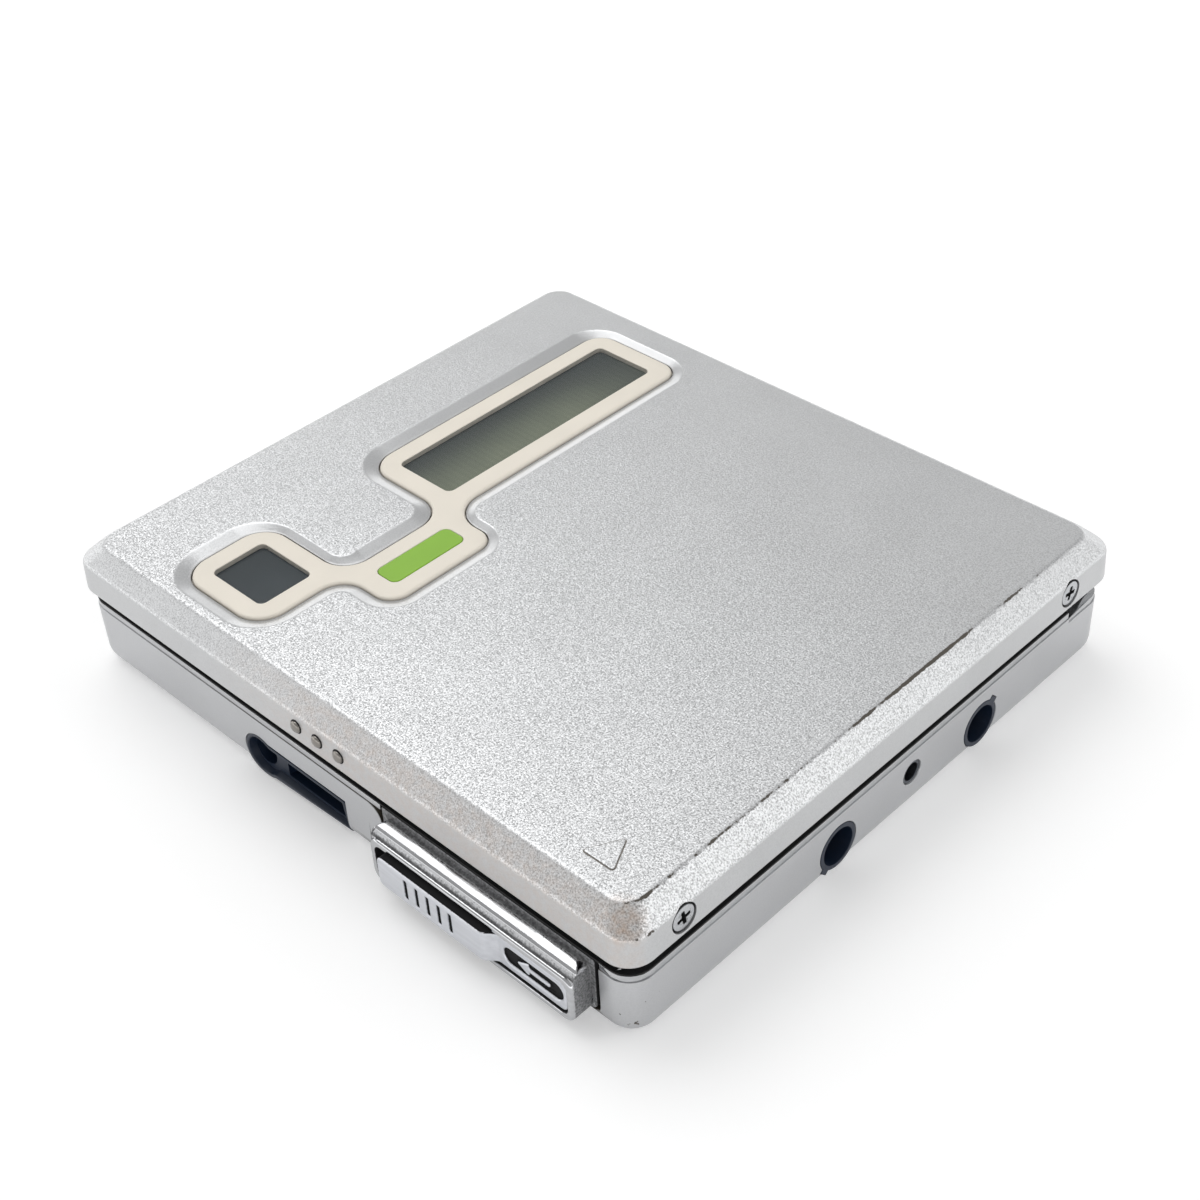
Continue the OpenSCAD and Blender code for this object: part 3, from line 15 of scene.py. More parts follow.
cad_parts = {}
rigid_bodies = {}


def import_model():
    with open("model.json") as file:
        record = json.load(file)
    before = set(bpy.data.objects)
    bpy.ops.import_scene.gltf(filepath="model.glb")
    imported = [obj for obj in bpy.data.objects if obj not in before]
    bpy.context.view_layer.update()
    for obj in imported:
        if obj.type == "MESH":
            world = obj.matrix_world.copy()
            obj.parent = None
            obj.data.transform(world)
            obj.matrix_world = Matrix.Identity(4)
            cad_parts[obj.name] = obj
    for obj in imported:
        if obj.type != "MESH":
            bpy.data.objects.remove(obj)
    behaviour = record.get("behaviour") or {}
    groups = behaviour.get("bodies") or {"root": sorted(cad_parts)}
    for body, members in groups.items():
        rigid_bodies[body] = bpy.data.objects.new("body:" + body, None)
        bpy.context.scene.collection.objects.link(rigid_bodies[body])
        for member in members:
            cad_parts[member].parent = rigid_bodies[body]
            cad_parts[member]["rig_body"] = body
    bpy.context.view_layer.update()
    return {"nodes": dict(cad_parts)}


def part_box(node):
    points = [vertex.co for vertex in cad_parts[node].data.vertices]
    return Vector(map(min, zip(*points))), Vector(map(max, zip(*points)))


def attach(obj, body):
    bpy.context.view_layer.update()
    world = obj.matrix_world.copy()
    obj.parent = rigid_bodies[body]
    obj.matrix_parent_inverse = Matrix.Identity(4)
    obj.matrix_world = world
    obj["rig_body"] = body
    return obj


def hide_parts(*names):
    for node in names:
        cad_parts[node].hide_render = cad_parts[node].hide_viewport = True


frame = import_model()

MM = 0.001
MERGE = 0.001 * MM
LOG = logging.getLogger("minidisc_player")
WHITE = (1.0, 1.0, 1.0, 1.0)
QUARTER = math.pi / 2

Ring = list[Vector]
Point = tuple[float, float, float]
Colour = tuple[float, float, float, float]
Tree = bpy.types.NodeTree
Socket = bpy.types.NodeSocket
Piece = bpy.types.Object


class Body(Enum):
    """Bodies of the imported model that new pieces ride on."""

    BASE = "base"
    LID = "lid"


class Slot(Enum):
    """Material slots of the record."""

    LID_PAINT = "lid_paint"
    BASE_PAINT = "base_paint"
    CHROME = "chrome_plate"
    SATIN = "satin_aluminium"
    STEEL = "sheet_steel"
    BRASS = "brass"
    BLACK = "black_moulding"
    KEY = "key_plastic"
    CREAM = "cream_plastic"
    WINDOW = "smoked_window"
    GREEN = "green_lens"
    DISPLAY = "display_glass"
    BOARD = "board"
    BATTERY = "battery_can"
    RUBBER = "damper_rubber"


def to_linear(hex_code: str) -> Colour:
    """Turns an sRGB hex code into a linear colour.

    Args:
        hex_code: Six hex digits with a leading hash.

    Returns:
        Linear red, green and blue, and an alpha of 1.
    """
    channels = [int(hex_code[i:i + 2], 16) / 255 for i in (1, 3, 5)]
    low = [c / 12.92 if c <= 0.04045 else ((c + 0.055) / 1.055) ** 2.4 for c in channels]
    return low[0], low[1], low[2], 1.0


def per_mm(size: float) -> float:
    """Texture scale that gives a pattern of this size in millimetres."""
    return 1 / (size * MM)


def held(value: float, low: float = 0.0, high: float = 1.0) -> float:
    """Holds a value between two limits."""
    return min(max(value, low), high)


def feed(tree: Tree, node: bpy.types.Node, inputs: dict) -> None:
    """Fills or links the inputs of a node.

    Args:
        tree: The node's tree.
        node: The node.
        inputs: Input name or index, with a constant or an output socket to link.
    """
    for key, value in inputs.items():
        if isinstance(value, Socket):
            tree.links.new(value, node.inputs[key])
        else:
            node.inputs[key].default_value = value


def add_node(tree: Tree, kind: str, inputs: dict | None = None, **settings: Any) -> bpy.types.Node:
    """Adds a node, sets its options and feeds its inputs.

    Args:
        tree: Node tree that takes the node.
        kind: Blender's type name of the node.
        inputs: Its inputs, as feed takes them.
        **settings: Properties of the node.

    Returns:
        The new node.
    """
    node = tree.nodes.new(kind)
    for key, value in settings.items():
        setattr(node, key, value)
    feed(tree, node, inputs or {})
    return node


@dataclass(frozen=True)
class Graph:
    """Shader nodes of one look: each method adds a node and gives one of its outputs."""

    tree: Tree

    def pick(self, kind: str, inputs: dict | None = None, output: str | int = 0,
             **settings: Any) -> Socket:
        """Adds a shader node, named without its prefix, and gives one of its outputs."""
        return add_node(self.tree, "ShaderNode" + kind, inputs, **settings).outputs[output]

    def place(self, output: str = "Object") -> Socket:
        """Gives texture coordinates."""
        return self.pick("TexCoord", output=output)

    def split(self, vector: Socket) -> list[Socket]:
        """Gives the three coordinates of a vector."""
        return list(add_node(self.tree, "ShaderNodeSeparateXYZ", {"Vector": vector}).outputs)

    def attribute(self, name: str) -> Socket:
        """Gives a value that the mesh carries at each point."""
        return self.pick("Attribute", output="Fac", attribute_name=name)

    def ramp(self, value: Socket, low: float, high: float, start: Any = 0.0, end: Any = 1.0,
             ease: str = "LINEAR") -> Socket:
        """Maps a value from low and high to a start and an end, and holds it there."""
        return self.pick("MapRange", {"Value": value, "From Min": low, "From Max": high,
                                      "To Min": start, "To Max": end}, interpolation_type=ease)

    def math(self, operation: str, *values: Any, clamp: bool = False) -> Socket:
        """Works out a number from sockets and constants."""
        return self.pick("Math", dict(enumerate(values)), operation=operation, use_clamp=clamp)

    def product(self, *values: Any) -> Socket:
        """Multiplies sockets and constants."""
        return reduce(lambda a, b: self.math("MULTIPLY", a, b), values)

    def vector(self, operation: str, *values: Any, output: str | int = 0) -> Socket:
        """Works out a vector from sockets and constants, or a number with the output Value."""
        return self.pick("VectorMath", dict(enumerate(values)), output, operation=operation)

    def near(self, place: Socket, spot: Point, *ends: float) -> Socket:
        """Maps the distance to a spot, in millimetres, from two distances to two results."""
        far = self.vector("DISTANCE", place, tuple(c * MM for c in spot), output="Value")
        return self.ramp(far, ends[0] * MM, ends[1] * MM, *ends[2:])

    def noise(self, place: Socket, size: float, detail: float, output: str | int = 0,
              **more: float) -> Socket:
        """Draws cloudy noise of a size in millimetres, with so many finer layers."""
        inputs = {"Vector": place, "Scale": per_mm(size), "Detail": detail} | more
        return self.pick("TexNoise", inputs, output)

    def waves(self, place: Socket, scale: float, way: str) -> Socket:
        """Draws even lines across X or Y."""
        return self.pick("TexWave", {"Vector": place, "Scale": scale}, "Fac", bands_direction=way)

    def mix(self, share: Any, first: Any, second: Any, blend: str = "MIX") -> Socket:
        """Blends two colours, hex codes or sockets, with this share of the second."""
        first, second = (to_linear(c) if isinstance(c, str) else c for c in (first, second))
        return self.pick("Mix", {0: share, 6: first, 7: second}, 2, data_type="RGBA", blend_type=blend)

    def bump(self, height: Socket, depth: float, **more: Socket) -> Socket:
        """Turns a height pattern, with its depth in millimetres, into a normal."""
        return self.pick("Bump", {"Strength": 1.0, "Distance": depth * MM, "Height": height} | more)

    def shade(self, inputs: dict) -> None:
        """Feeds the inputs of the principled shader."""
        feed(self.tree, self.tree.nodes["Principled BSDF"], inputs)


@dataclass(frozen=True)
class Finish:
    """A surface: what it is made of and the record slot it belongs to."""

    name: str
    slot: Slot
    colour: str

    def material(self) -> bpy.types.Material:
        """Makes the material, or finds it if it is made.

        Returns:
            The material.
        """
        found = bpy.data.materials.get(self.name)
        if found:
            return found
        made = bpy.data.materials.new(self.name)
        made.use_nodes = True
        self.dress(Graph(made.node_tree))
        return made

    def toned(self, graph: Graph, tone: Socket) -> Socket:
        """Gives the finish's colour, lighter or darker by a tone near 1."""
        return graph.mix(1.0, self.colour, tone, "MULTIPLY")

    def dress(self, graph: Graph) -> None:
        """Adds the pattern's nodes and feeds the shader."""
        raise NotImplementedError


@dataclass(frozen=True)
class FlakeLacquer(Finish):
    """Silver lacquer with metal flakes sprayed on cast magnesium: each flake tilts its own way and glints."""

    # real flakes are near 0.05 mm wide; they are drawn coarser so that they show
    flake: float = 0.17
    tilt: float = 0.6
    # tone: strength of the glints painted into the colour
    tone: float = 0.26
    smooth_below: float = 0.0
    chips: float = 0.0
    pits: float = 0.0
    stain: float = 0.0
    roughness: float = 0.38
    dished_roughness: float = 0.29
    metallic: float = 0.78
    finger_colour: str = "#c49a72"
    # colour of the painted shade in gaps, and of grit
    shade_and_grit_colour: str = "#40392f"
    bare_colour: str = "#4f4a43"

    def dress(self, graph: Graph) -> None:
        """Adds flakes with glints painted into the colour, clouding, worn creases, pits, stains, and painted
        shade where the mesh carries it.

        Args:
            graph: Nodes of the material.
        """
        place = graph.place()
        crease, shade_and_grit_level = graph.attribute("edge_wear"), graph.attribute("grime")
        low, high = (self.smooth_below - 0.2) * MM, (self.smooth_below + 0.2) * MM
        # wear below zero marks the dished slope, where the flakes lie flat
        upper = graph.product(graph.ramp(graph.split(place)[2], low, high, 0.12),
                              graph.ramp(crease, -1.0, 0.0, 0.25))
        flakes = graph.noise(place, self.flake, 1.0, "Color")
        lean = graph.vector("SUBTRACT", flakes, (0.5, 0.5, 0.5))
        normal = graph.pick("NewGeometry", output="Normal")
        tilted = graph.vector("MULTIPLY_ADD", lean, graph.product(upper, self.tilt), normal)
        # painted glint: each flake is made lighter or darker in the colour, as if it caught the light
        glint = graph.pick("SeparateColor", {"Color": flakes})
        spark = graph.ramp(glint, 0.3, 0.62, -self.tone, self.tone * 0.6)
        # painted glints: the flakes' tone in the colour is stronger towards the front right, where the lamp's
        # highlight falls
        slant = graph.vector("DOT_PRODUCT", place, (0.45, -1.0, 0.0), output="Value")
        painted_glint_strength = graph.ramp(slant, -45 * MM, 45 * MM, 0.2, 1.7)
        shade = graph.math("MULTIPLY_ADD", spark, graph.product(upper, painted_glint_strength), 1.0)
        haze = graph.ramp(graph.noise(place, 9, 3), 0.3, 0.7, 0.97, 1.02)
        paint = self.toned(graph, graph.product(shade, haze))
        tinted = graph.mix(self.handled(graph, place), paint, self.finger_colour)
        # painted shade darkens the paint where the mesh carries it, with some grit
        darkened_paint = graph.mix(shade_and_grit_level, tinted, self.shade_and_grit_colour)
        bare = self.bare_spots(graph, place, crease)
        worn = graph.math("MAXIMUM", bare, shade_and_grit_level)
        sheen = graph.ramp(crease, -1.0, 0.0, self.dished_roughness, self.roughness)
        graph.shade({"Base Color": graph.mix(bare, darkened_paint, self.bare_colour),
                     "Metallic": graph.ramp(worn, 0.0, 1.0, self.metallic, 0.15),
                     "Roughness": graph.ramp(worn, 0.0, 1.0, sheen, 0.7),
                     "Normal": graph.vector("NORMALIZE", tilted),
                     "Coat Weight": 0.12, "Coat Roughness": 0.3})

    def handled(self, graph: Graph, place: Socket) -> Socket:
        """Finds where fingers have stained the lacquer: the front chamfer, most at its right corner.

        Args:
            graph: Nodes of the material.
            place: Object coordinates.

        Returns:
            Strength of the stain.
        """
        x, y, _ = graph.split(place)
        near = graph.near(place, (40.6, -37.2, 15), 0.4, 3.0, 0.5, 0.0)
        along = graph.ramp(x, -18 * MM, 2 * MM, 0.0, 0.16)
        front = graph.ramp(y, -36.3 * MM, -36.9 * MM, 0.0, along)
        spread = graph.ramp(graph.noise(place, 0.8, 4), 0.35, 0.65, 0.25)
        return graph.product(graph.math("MAXIMUM", near, front), spread, self.stain)

    def bare_spots(self, graph: Graph, place: Socket, crease: Socket) -> Socket:
        """Finds where the lacquer is rubbed off: ragged lines on worn creases and pits at the front right.

        Args:
            graph: Nodes of the material.
            place: Object coordinates.
            crease: How worn the creases are.

        Returns:
            1 on bare metal and 0 on lacquer.
        """
        x, y, _ = graph.split(place)
        right = graph.ramp(x, 38.5 * MM, 40.5 * MM, 0.46, 1.0)
        back = graph.ramp(y, 20 * MM, 33 * MM, 1.0, 0.35)
        patch = graph.ramp(graph.noise(place, 6, 2), 0.35, 0.65, 0.45, 1.15)
        rub = graph.product(right, back, patch, crease)
        ragged = graph.noise(place, 0.8, 5, Roughness=0.7)
        edge = graph.math("MULTIPLY_ADD", ragged, 1.1, rub)
        chip = graph.ramp(edge, 1.2, 1.29, 0.0, self.chips)
        near = graph.near(place, (42, -37.5, 3), 1, 9, 0.26, 0.06)
        pit = graph.math("ADD", graph.noise(place, 0.9, 3, Roughness=0.6), near)
        return graph.math("MAXIMUM", chip, graph.ramp(pit, 0.9, 0.94, 0.0, self.pits))


@dataclass(frozen=True)
class PlatedMetal(Finish):
    """Metal with a plated, drawn or turned surface: mirror-like to satin, with smudges and hairlines."""

    roughness: float = 0.12
    smudge: float = 0.08
    scratch: float = 0.02
    wave: float = 0.0
    grain: Point = (1.0, 1.0, 1.0)
    # near black: the colour of painted shade and dark reflections in gaps and pockets, and of grit
    shade_and_grit_colour: str = "#0e0e11"

    def dress(self, graph: Graph) -> None:
        """Adds smudges, hairline scratches, and painted shade and dark reflections from the mesh, speckled
        where they thin out, with some grit.

        Args:
            graph: Nodes of the material.
        """
        place, shade_and_grit_level = graph.place(), graph.attribute("grime")
        drawn = graph.pick("Mapping", {"Vector": place, "Scale": self.grain})
        lines = graph.noise(drawn, 0.5, 3)
        smears = graph.noise(place, 3.5, 4)
        rough = graph.ramp(smears, 0.35, 0.7, self.roughness, self.roughness + self.smudge)
        colour = self.toned(graph, graph.ramp(lines, 0.3, 0.7, 0.92, 1.04))
        waved = graph.bump(graph.noise(drawn, 2, 2), self.wave)
        speck = graph.ramp(graph.noise(place, 0.25, 2), 0.35, 0.65, -0.5, 0.0)
        gaps = graph.product(speck, graph.math("SUBTRACT", 1.0, shade_and_grit_level))
        # painted shade and dark reflections from the mesh, broken into specks where they thin out
        laid = graph.math("MULTIPLY_ADD", gaps, 3.0, shade_and_grit_level, clamp=True)
        graph.shade({"Base Color": graph.mix(laid, colour, self.shade_and_grit_colour),
                     "Roughness": graph.math("MULTIPLY_ADD", laid, 0.7, rough),
                     "Metallic": graph.math("SUBTRACT", 1.0, laid),
                     "Normal": graph.bump(lines, self.scratch, Normal=waved)})


@dataclass(frozen=True)
class MouldedPlastic(Finish):
    """Injection-moulded plastic or rubber: a fine spark-eroded grain and faint clouding in the colour."""

    roughness: float = 0.42
    grain: float = 0.25
    depth: float = 0.006
    cloud: float = 0.05
    ior: float = 1.52

    def dress(self, graph: Graph) -> None:
        """Adds the moulding grain and clouding.

        Args:
            graph: Nodes of the material.
        """
        place = graph.place()
        clouds = graph.noise(place, 5, 4)
        tone = graph.ramp(clouds, 0.3, 0.7, 1 - self.cloud, 1 + self.cloud)
        graph.shade({"Base Color": self.toned(graph, tone),
                     "Roughness": graph.ramp(clouds, 0.3, 0.7, self.roughness - 0.04, self.roughness + 0.06),
                     "Normal": graph.bump(graph.noise(place, self.grain, 2), self.depth),
                     "IOR": self.ior})


@dataclass(frozen=True)
class SmokedAcrylic(Finish):
    """Tinted acrylic sheet, polished: a dark clear pane with a sharp reflection and a few wiping marks."""

    alpha: float = 0.4
    roughness: float = 0.06
    ior: float = 1.49

    def dress(self, graph: Graph) -> None:
        """Adds wiping marks.

        Args:
            graph: Nodes of the material.
        """
        wipe = graph.noise(graph.place(), 2, 5)
        tone = graph.ramp(wipe, 0.0, 1.0, 0.9, 1.1)
        graph.shade({"Base Color": self.toned(graph, tone),
                     "Roughness": graph.ramp(wipe, 0.4, 0.7, self.roughness, self.roughness + 0.08),
                     "Alpha": self.alpha, "IOR": self.ior})


@dataclass(frozen=True)
class DisplayGlass(Finish):
    """Liquid-crystal cell with a reflector behind it: grey-green where light reaches it, with slate shade
    painted towards one side and the far end.
    """

    shade: str = "#3c4345"
    centre: tuple[float, float] = (0.0, 0.0)
    reach: float = 4.0
    length: float = 8.0
    roughness: float = 0.3

    def dress(self, graph: Graph) -> None:
        """Adds the painted shade across the cell and its fine electrode lines.

        Args:
            graph: Nodes of the material.
        """
        place = graph.place()
        x, y, _ = graph.split(place)
        mid_x, mid_y = self.centre
        # painted shade: the cell turns slate towards one side and its far end, where the bezel's edge shades
        # it
        side = graph.ramp(x, (mid_x - self.reach) * MM, (mid_x + self.reach) * MM, ease="SMOOTHSTEP")
        far = graph.ramp(y, (mid_y + self.length * 0.1) * MM, (mid_y + self.length * 0.5) * MM, 1.0, 0.25,
                         "SMOOTHSTEP")
        mottle = graph.ramp(graph.noise(place, 4, 2), 0.3, 0.7, 0.85, 1.0)
        colour = graph.mix(graph.product(side, mottle, far), self.shade, self.colour)
        lines = graph.waves(place, per_mm(0.45) / 6.28, "Y")
        tone = graph.ramp(lines, 0.0, 1.0, 0.96, 1.03)
        graph.shade({"Base Color": graph.mix(1.0, colour, tone, "MULTIPLY"), "Roughness": self.roughness})


@dataclass(frozen=True)
class CircuitBoard(Finish):
    """Glass-epoxy board under solder mask: glossy, with patches of paler copper tracks showing through."""

    track: str = "#3f8159"
    pitch: float = 0.9
    patch: float = 7.0
    roughness: float = 0.3

    def dress(self, graph: Graph) -> None:
        """Adds the tracks under the mask.

        Args:
            graph: Nodes of the material.
        """
        place = graph.place()
        patches = graph.pick("TexVoronoi", {"Vector": place, "Scale": per_mm(self.patch)}, "Color",
                             distance="CHEBYCHEV")
        across = graph.math("GREATER_THAN", graph.pick("SeparateColor", {0: patches}), 0.5)
        runs = [graph.waves(place, per_mm(self.pitch) * math.pi / 10, way) for way in ("X", "Y")]
        lines = graph.pick("Mix", {0: across, 2: runs[0], 3: runs[1]}, data_type="FLOAT")
        edge = graph.ramp(lines, 0.45, 0.6)
        graph.shade({"Base Color": graph.mix(edge, self.colour, self.track),
                     "Roughness": self.roughness})


LID_LACQUER = FlakeLacquer("flake_lacquer_on_magnesium", Slot.LID_PAINT, "#c8c9ca", smooth_below=13.9,
                           chips=1.0, stain=1.0)
BASE_LACQUER = FlakeLacquer("fine_lacquer_on_magnesium", Slot.BASE_PAINT, "#c2c3c5", tilt=0.05,
                            tone=0.02, pits=1.0)
CHROME = PlatedMetal("chrome_plate_on_abs", Slot.CHROME, "#bfc0c2", roughness=0.06, scratch=0.006,
                     wave=0.06, grain=(0.2, 1.0, 1.0))
SATIN_NICKEL = PlatedMetal("satin_nickel_plate", Slot.SATIN, "#d6d8dd", roughness=0.34, smudge=0.06,
                           scratch=0.002, grain=(0.1, 1.0, 1.0))
SHEET_STEEL = PlatedMetal("zinc_plated_sheet_steel", Slot.STEEL, "#b9bcc0", roughness=0.28, smudge=0.1,
                          scratch=0.004, grain=(0.15, 1.0, 1.0))
TURNED_STEEL = PlatedMetal("nickel_plated_turned_steel", Slot.STEEL, "#c6c8cb", roughness=0.24,
                           scratch=0.002)
WORN_NICKEL = PlatedMetal("rubbed_nickel_plate", Slot.STEEL, "#8f8b86", roughness=0.2, smudge=0.12,
                          wave=0.05)
DULL_STEEL = PlatedMetal("oxidised_turned_steel", Slot.STEEL, "#5c6066", roughness=0.35, smudge=0.1,
                         scratch=0.003)
BRASS = PlatedMetal("turned_brass", Slot.BRASS, "#c2a36a", roughness=0.25, smudge=0.1, scratch=0.003)
BLACK_ABS = MouldedPlastic("black_moulded_abs", Slot.BLACK, "#0d1b2e")
DARK_PPS = MouldedPlastic("dark_moulded_pps", Slot.BLACK, "#2d3136", roughness=0.5)
CREAM_ABS = MouldedPlastic("cream_moulded_abs", Slot.CREAM, "#e6dfd2", cloud=0.02)
KEY_ABS = MouldedPlastic("silver_painted_abs", Slot.KEY, "#b9bbbd", roughness=0.35, cloud=0.03)
GREEN_ACRYLIC = MouldedPlastic("green_moulded_acrylic", Slot.GREEN, "#84b52d", roughness=0.38, cloud=0.04,
                               depth=0.002)
RUBBER = MouldedPlastic("butyl_rubber", Slot.RUBBER, "#0c0c0d", roughness=0.6)
# painted shade: a dark ring for the groove round the raised direction mark
MARK_GROOVE_SHADE = MouldedPlastic("dark_line_in_lacquer", Slot.LID_PAINT, "#77716a", roughness=0.6, cloud=0.2)
BATTERY_FILM = MouldedPlastic("shrink_film_on_cell", Slot.BATTERY, "#8496aa", roughness=0.28)
CHIP_EPOXY = MouldedPlastic("moulded_epoxy", Slot.BLACK, "#232529", roughness=0.55)
WINDOW = SmokedAcrylic("smoked_acrylic_pane", Slot.WINDOW, "#2c3134", alpha=0.22)
LENS_GLASS = SmokedAcrylic("coated_lens_glass", Slot.WINDOW, "#39424f", alpha=0.9, roughness=0.04)
LCD_CELL = DisplayGlass("liquid_crystal_cell", Slot.DISPLAY, "#b3bca2", shade="#616868",
                        centre=(-22.6, 12.7), reach=4.2, length=33.5)
ICON_CELL = DisplayGlass("icon_cell", Slot.DISPLAY, "#5a6469", shade="#4b5459", centre=(-22.25, -27.45),
                         length=7.1)
SOLDER_MASK = CircuitBoard("solder_mask_on_glass_epoxy", Slot.BOARD, "#2f6b4a")
BLACK_MASK = CircuitBoard("black_mask_on_glass_epoxy", Slot.BLACK, "#14171b", track="#24282d")


@dataclass(frozen=True)
class Outline:
    """Closed outline in plan, in millimetres, with the outward direction at each point."""

    points: tuple[Vector, ...]
    outward: tuple[Vector, ...]

    def at(self, z: float, grow: float = 0.0) -> Ring:
        """Ring of the outline at a height, moved outwards by grow."""
        return [Vector((p.x + n.x * grow, p.y + n.y * grow, z)) for p, n in zip(self.points, self.outward)]

    def shrunk(self, gap: float) -> "Outline":
        """The outline, moved inwards."""
        return Outline(tuple(Vector((p.x, p.y)) for p in self.at(0, -gap)), self.outward)


def rounded(corners: Sequence[Point], steps: int = 10) -> Outline:
    """Outline of a polygon with every corner rounded.

    Args:
        corners: x, y and radius of each corner, anticlockwise.
        steps: Points along a right-angled corner.

    Returns:
        The rounded outline.
    """
    points, outward = [], []
    for i, (x, y, radius) in enumerate(corners):
        here = Vector((x, y))
        before = (here - Vector(corners[i - 1][:2])).normalized()
        after = (Vector(corners[(i + 1) % len(corners)][:2]) - here).normalized()
        turn = math.atan2(before.x * after.y - before.y * after.x, before.dot(after))
        side = math.copysign(1, turn)
        start = here - before * radius * math.tan(abs(turn) / 2)
        away = Vector((before.y, -before.x))
        centre = start - away * radius * side
        parts = max(2, math.ceil(steps * abs(turn) / QUARTER))
        for k in range(parts + 1):
            spun = away @ Matrix.Rotation(-turn * k / parts, 2)
            spot = centre + spun * radius * side
            if all((p - spot).length >= 1e-4 for p in points[:1] + points[-1:]):
                points.append(spot)
                outward.append(spun)
    return Outline(tuple(points), tuple(outward))


def box_outline(x: float, y: float, width: float, length: float, radius: float, steps: int = 10) -> Outline:
    """Rounded rectangle about its middle, with so many points along a corner."""
    signs = ((1, -1), (1, 1), (-1, 1), (-1, -1))
    return rounded([(x + a * width / 2, y + b * length / 2, radius) for a, b in signs], steps)


def span_outline(left: float, right: float, low: float, high: float, radius: float) -> Outline:
    """Rectangle between its sides, with small roundings of this radius."""
    spots = ((left, low), (right, low), (right, high), (left, high))
    return rounded([(*spot, radius) for spot in spots], 3)


def lerp_ring(a: Ring, b: Ring, t: float) -> Ring:
    """Ring part of the way from one ring to another."""
    return [p.lerp(q, t) for p, q in zip(a, b)]


def eased(a: Ring, corner: Ring, b: Ring, steps: int = 5) -> list[Ring]:
    """Rings from a to b that round off the crease at a corner ring."""
    return [lerp_ring(lerp_ring(a, corner, k / steps), lerp_ring(corner, b, k / steps), k / steps)
            for k in range(steps + 1)]


class Sketch:
    """Collects rings of points in millimetres and closes them into one mesh in metres."""

    def __init__(self) -> None:
        """Starts an empty sketch."""
        self.mesh = bmesh.new()
        self.wear = self.mesh.verts.layers.float.new("edge_wear")
        # a darkening layer: painted shade and dark reflections in gaps and pockets, with some grit
        self.grime = self.mesh.verts.layers.float.new("grime")

    def ring(self, points: Iterable[Vector], wear: float = 0.0,
             grime: float = 0.0) -> list[bmesh.types.BMVert]:
        """Adds the points of a ring.

        Args:
            points: Points in millimetres.
            wear: How worn the ring's lacquer is, 0 to 1, or below zero on a dished slope.
            grime: Darkening on the ring, 0 to 1: painted shade in gaps and round feet, and grit.

        Returns:
            The ring's vertices.
        """
        made = [self.mesh.verts.new(p * MM) for p in points]
        for vert in made:
            vert[self.wear] = wear
            vert[self.grime] = grime
        return made

    def bridge(self, low: Sequence, high: Sequence) -> None:
        """Joins two rings with a strip of faces.

        Args:
            low: Vertices of one ring.
            high: As many vertices of the other.
        """
        for i in range(len(low)):
            j = (i + 1) % len(low)
            self.mesh.faces.new((low[i], low[j], high[j], high[i]))

    def loft(self, rings: Sequence[Ring], wear: Sequence[float] | None = None,
             grime: Sequence[float] | None = None) -> tuple[list, list]:
        """Joins a stack of rings.

        Args:
            rings: Rings of equal length, in order.
            wear: Wear of each ring.
            grime: Darkening on each ring: painted shade and grit.

        Returns:
            Vertices of the first and of the last ring.
        """
        clean = [0.0] * len(rings)
        made = [self.ring(r, w, g) for r, w, g in zip(rings, wear or clean, grime or clean)]
        for low, high in zip(made, made[1:]):
            self.bridge(low, high)
        return made[0], made[-1]

    def fill(self, *rings: Sequence) -> None:
        """Fills a flat face.

        Args:
            *rings: Vertices of its outer ring and of any holes.
        """
        edges = []
        for ring in rings:
            for pair in ((ring[i - 1], vert) for i, vert in enumerate(ring)):
                edges.append(self.mesh.edges.get(pair) or self.mesh.edges.new(pair))
        bmesh.ops.triangle_fill(self.mesh, edges=edges, use_beauty=True)

    def solid(self, rings: Sequence[Ring], grime: Sequence[float] | None = None) -> None:
        """Joins a stack of rings, with painted shade and grit on each if given, and closes both ends."""
        for end in self.loft(rings, None, grime):
            self.fill(end)

    def hoop(self, rings: Sequence[Ring]) -> None:
        """Joins a stack of rings, and the last to the first."""
        first, last = self.loft(rings)
        self.bridge(last, first)

    def prism(self, outline: Outline, low: float, high: float, edge: float = 0.0,
              turn: Matrix | None = None) -> None:
        """Adds an upright plate with rounded rims.

        Args:
            outline: Its outline.
            low: Height of its lower face.
            high: Height of its upper face.
            edge: Rounding of its rims.
            turn: Matrix that places it.
        """
        rings = [outline.at(low), outline.at(high)]
        if edge:
            rings = eased(outline.at(low, -edge), outline.at(low), outline.at(low + edge), 4)
            rings += eased(outline.at(high - edge), outline.at(high), outline.at(high, -edge), 4)
        self.solid([[turn @ p for p in r] for r in rings] if turn else rings)

    def data(self, name: str) -> bpy.types.Mesh:
        """Closes the sketch.

        Args:
            name: Name of the mesh.

        Returns:
            The mesh, with its faces pointing outwards.
        """
        bmesh.ops.remove_doubles(self.mesh, verts=self.mesh.verts, dist=MERGE)
        bmesh.ops.recalc_face_normals(self.mesh, faces=self.mesh.faces)
        made = bpy.data.meshes.new(name)
        self.mesh.to_mesh(made)
        self.mesh.free()
        return made

    def piece(self, name: str) -> Piece:
        """Closes the sketch and puts it into the scene."""
        return place_object(name, self.data(name))


def place_object(name: str, data: bpy.types.ID) -> Piece:
    """Puts an object into the scene at the origin.

    Args:
        name: Name of the object.
        data: Its mesh, lamp or camera.

    Returns:
        The object.
    """
    made = bpy.data.objects.new(name, data)
    bpy.context.scene.collection.objects.link(made)
    return made


def settle(obj: Piece) -> None:
    """Turns an object's modifiers into plain mesh.

    Args:
        obj: The object.
    """
    view = bpy.context.evaluated_depsgraph_get()
    view.update()
    done = bpy.data.meshes.new_from_object(obj.evaluated_get(view), depsgraph=view)
    obj.modifiers.clear()
    obj.data = done
    done.name = obj.name


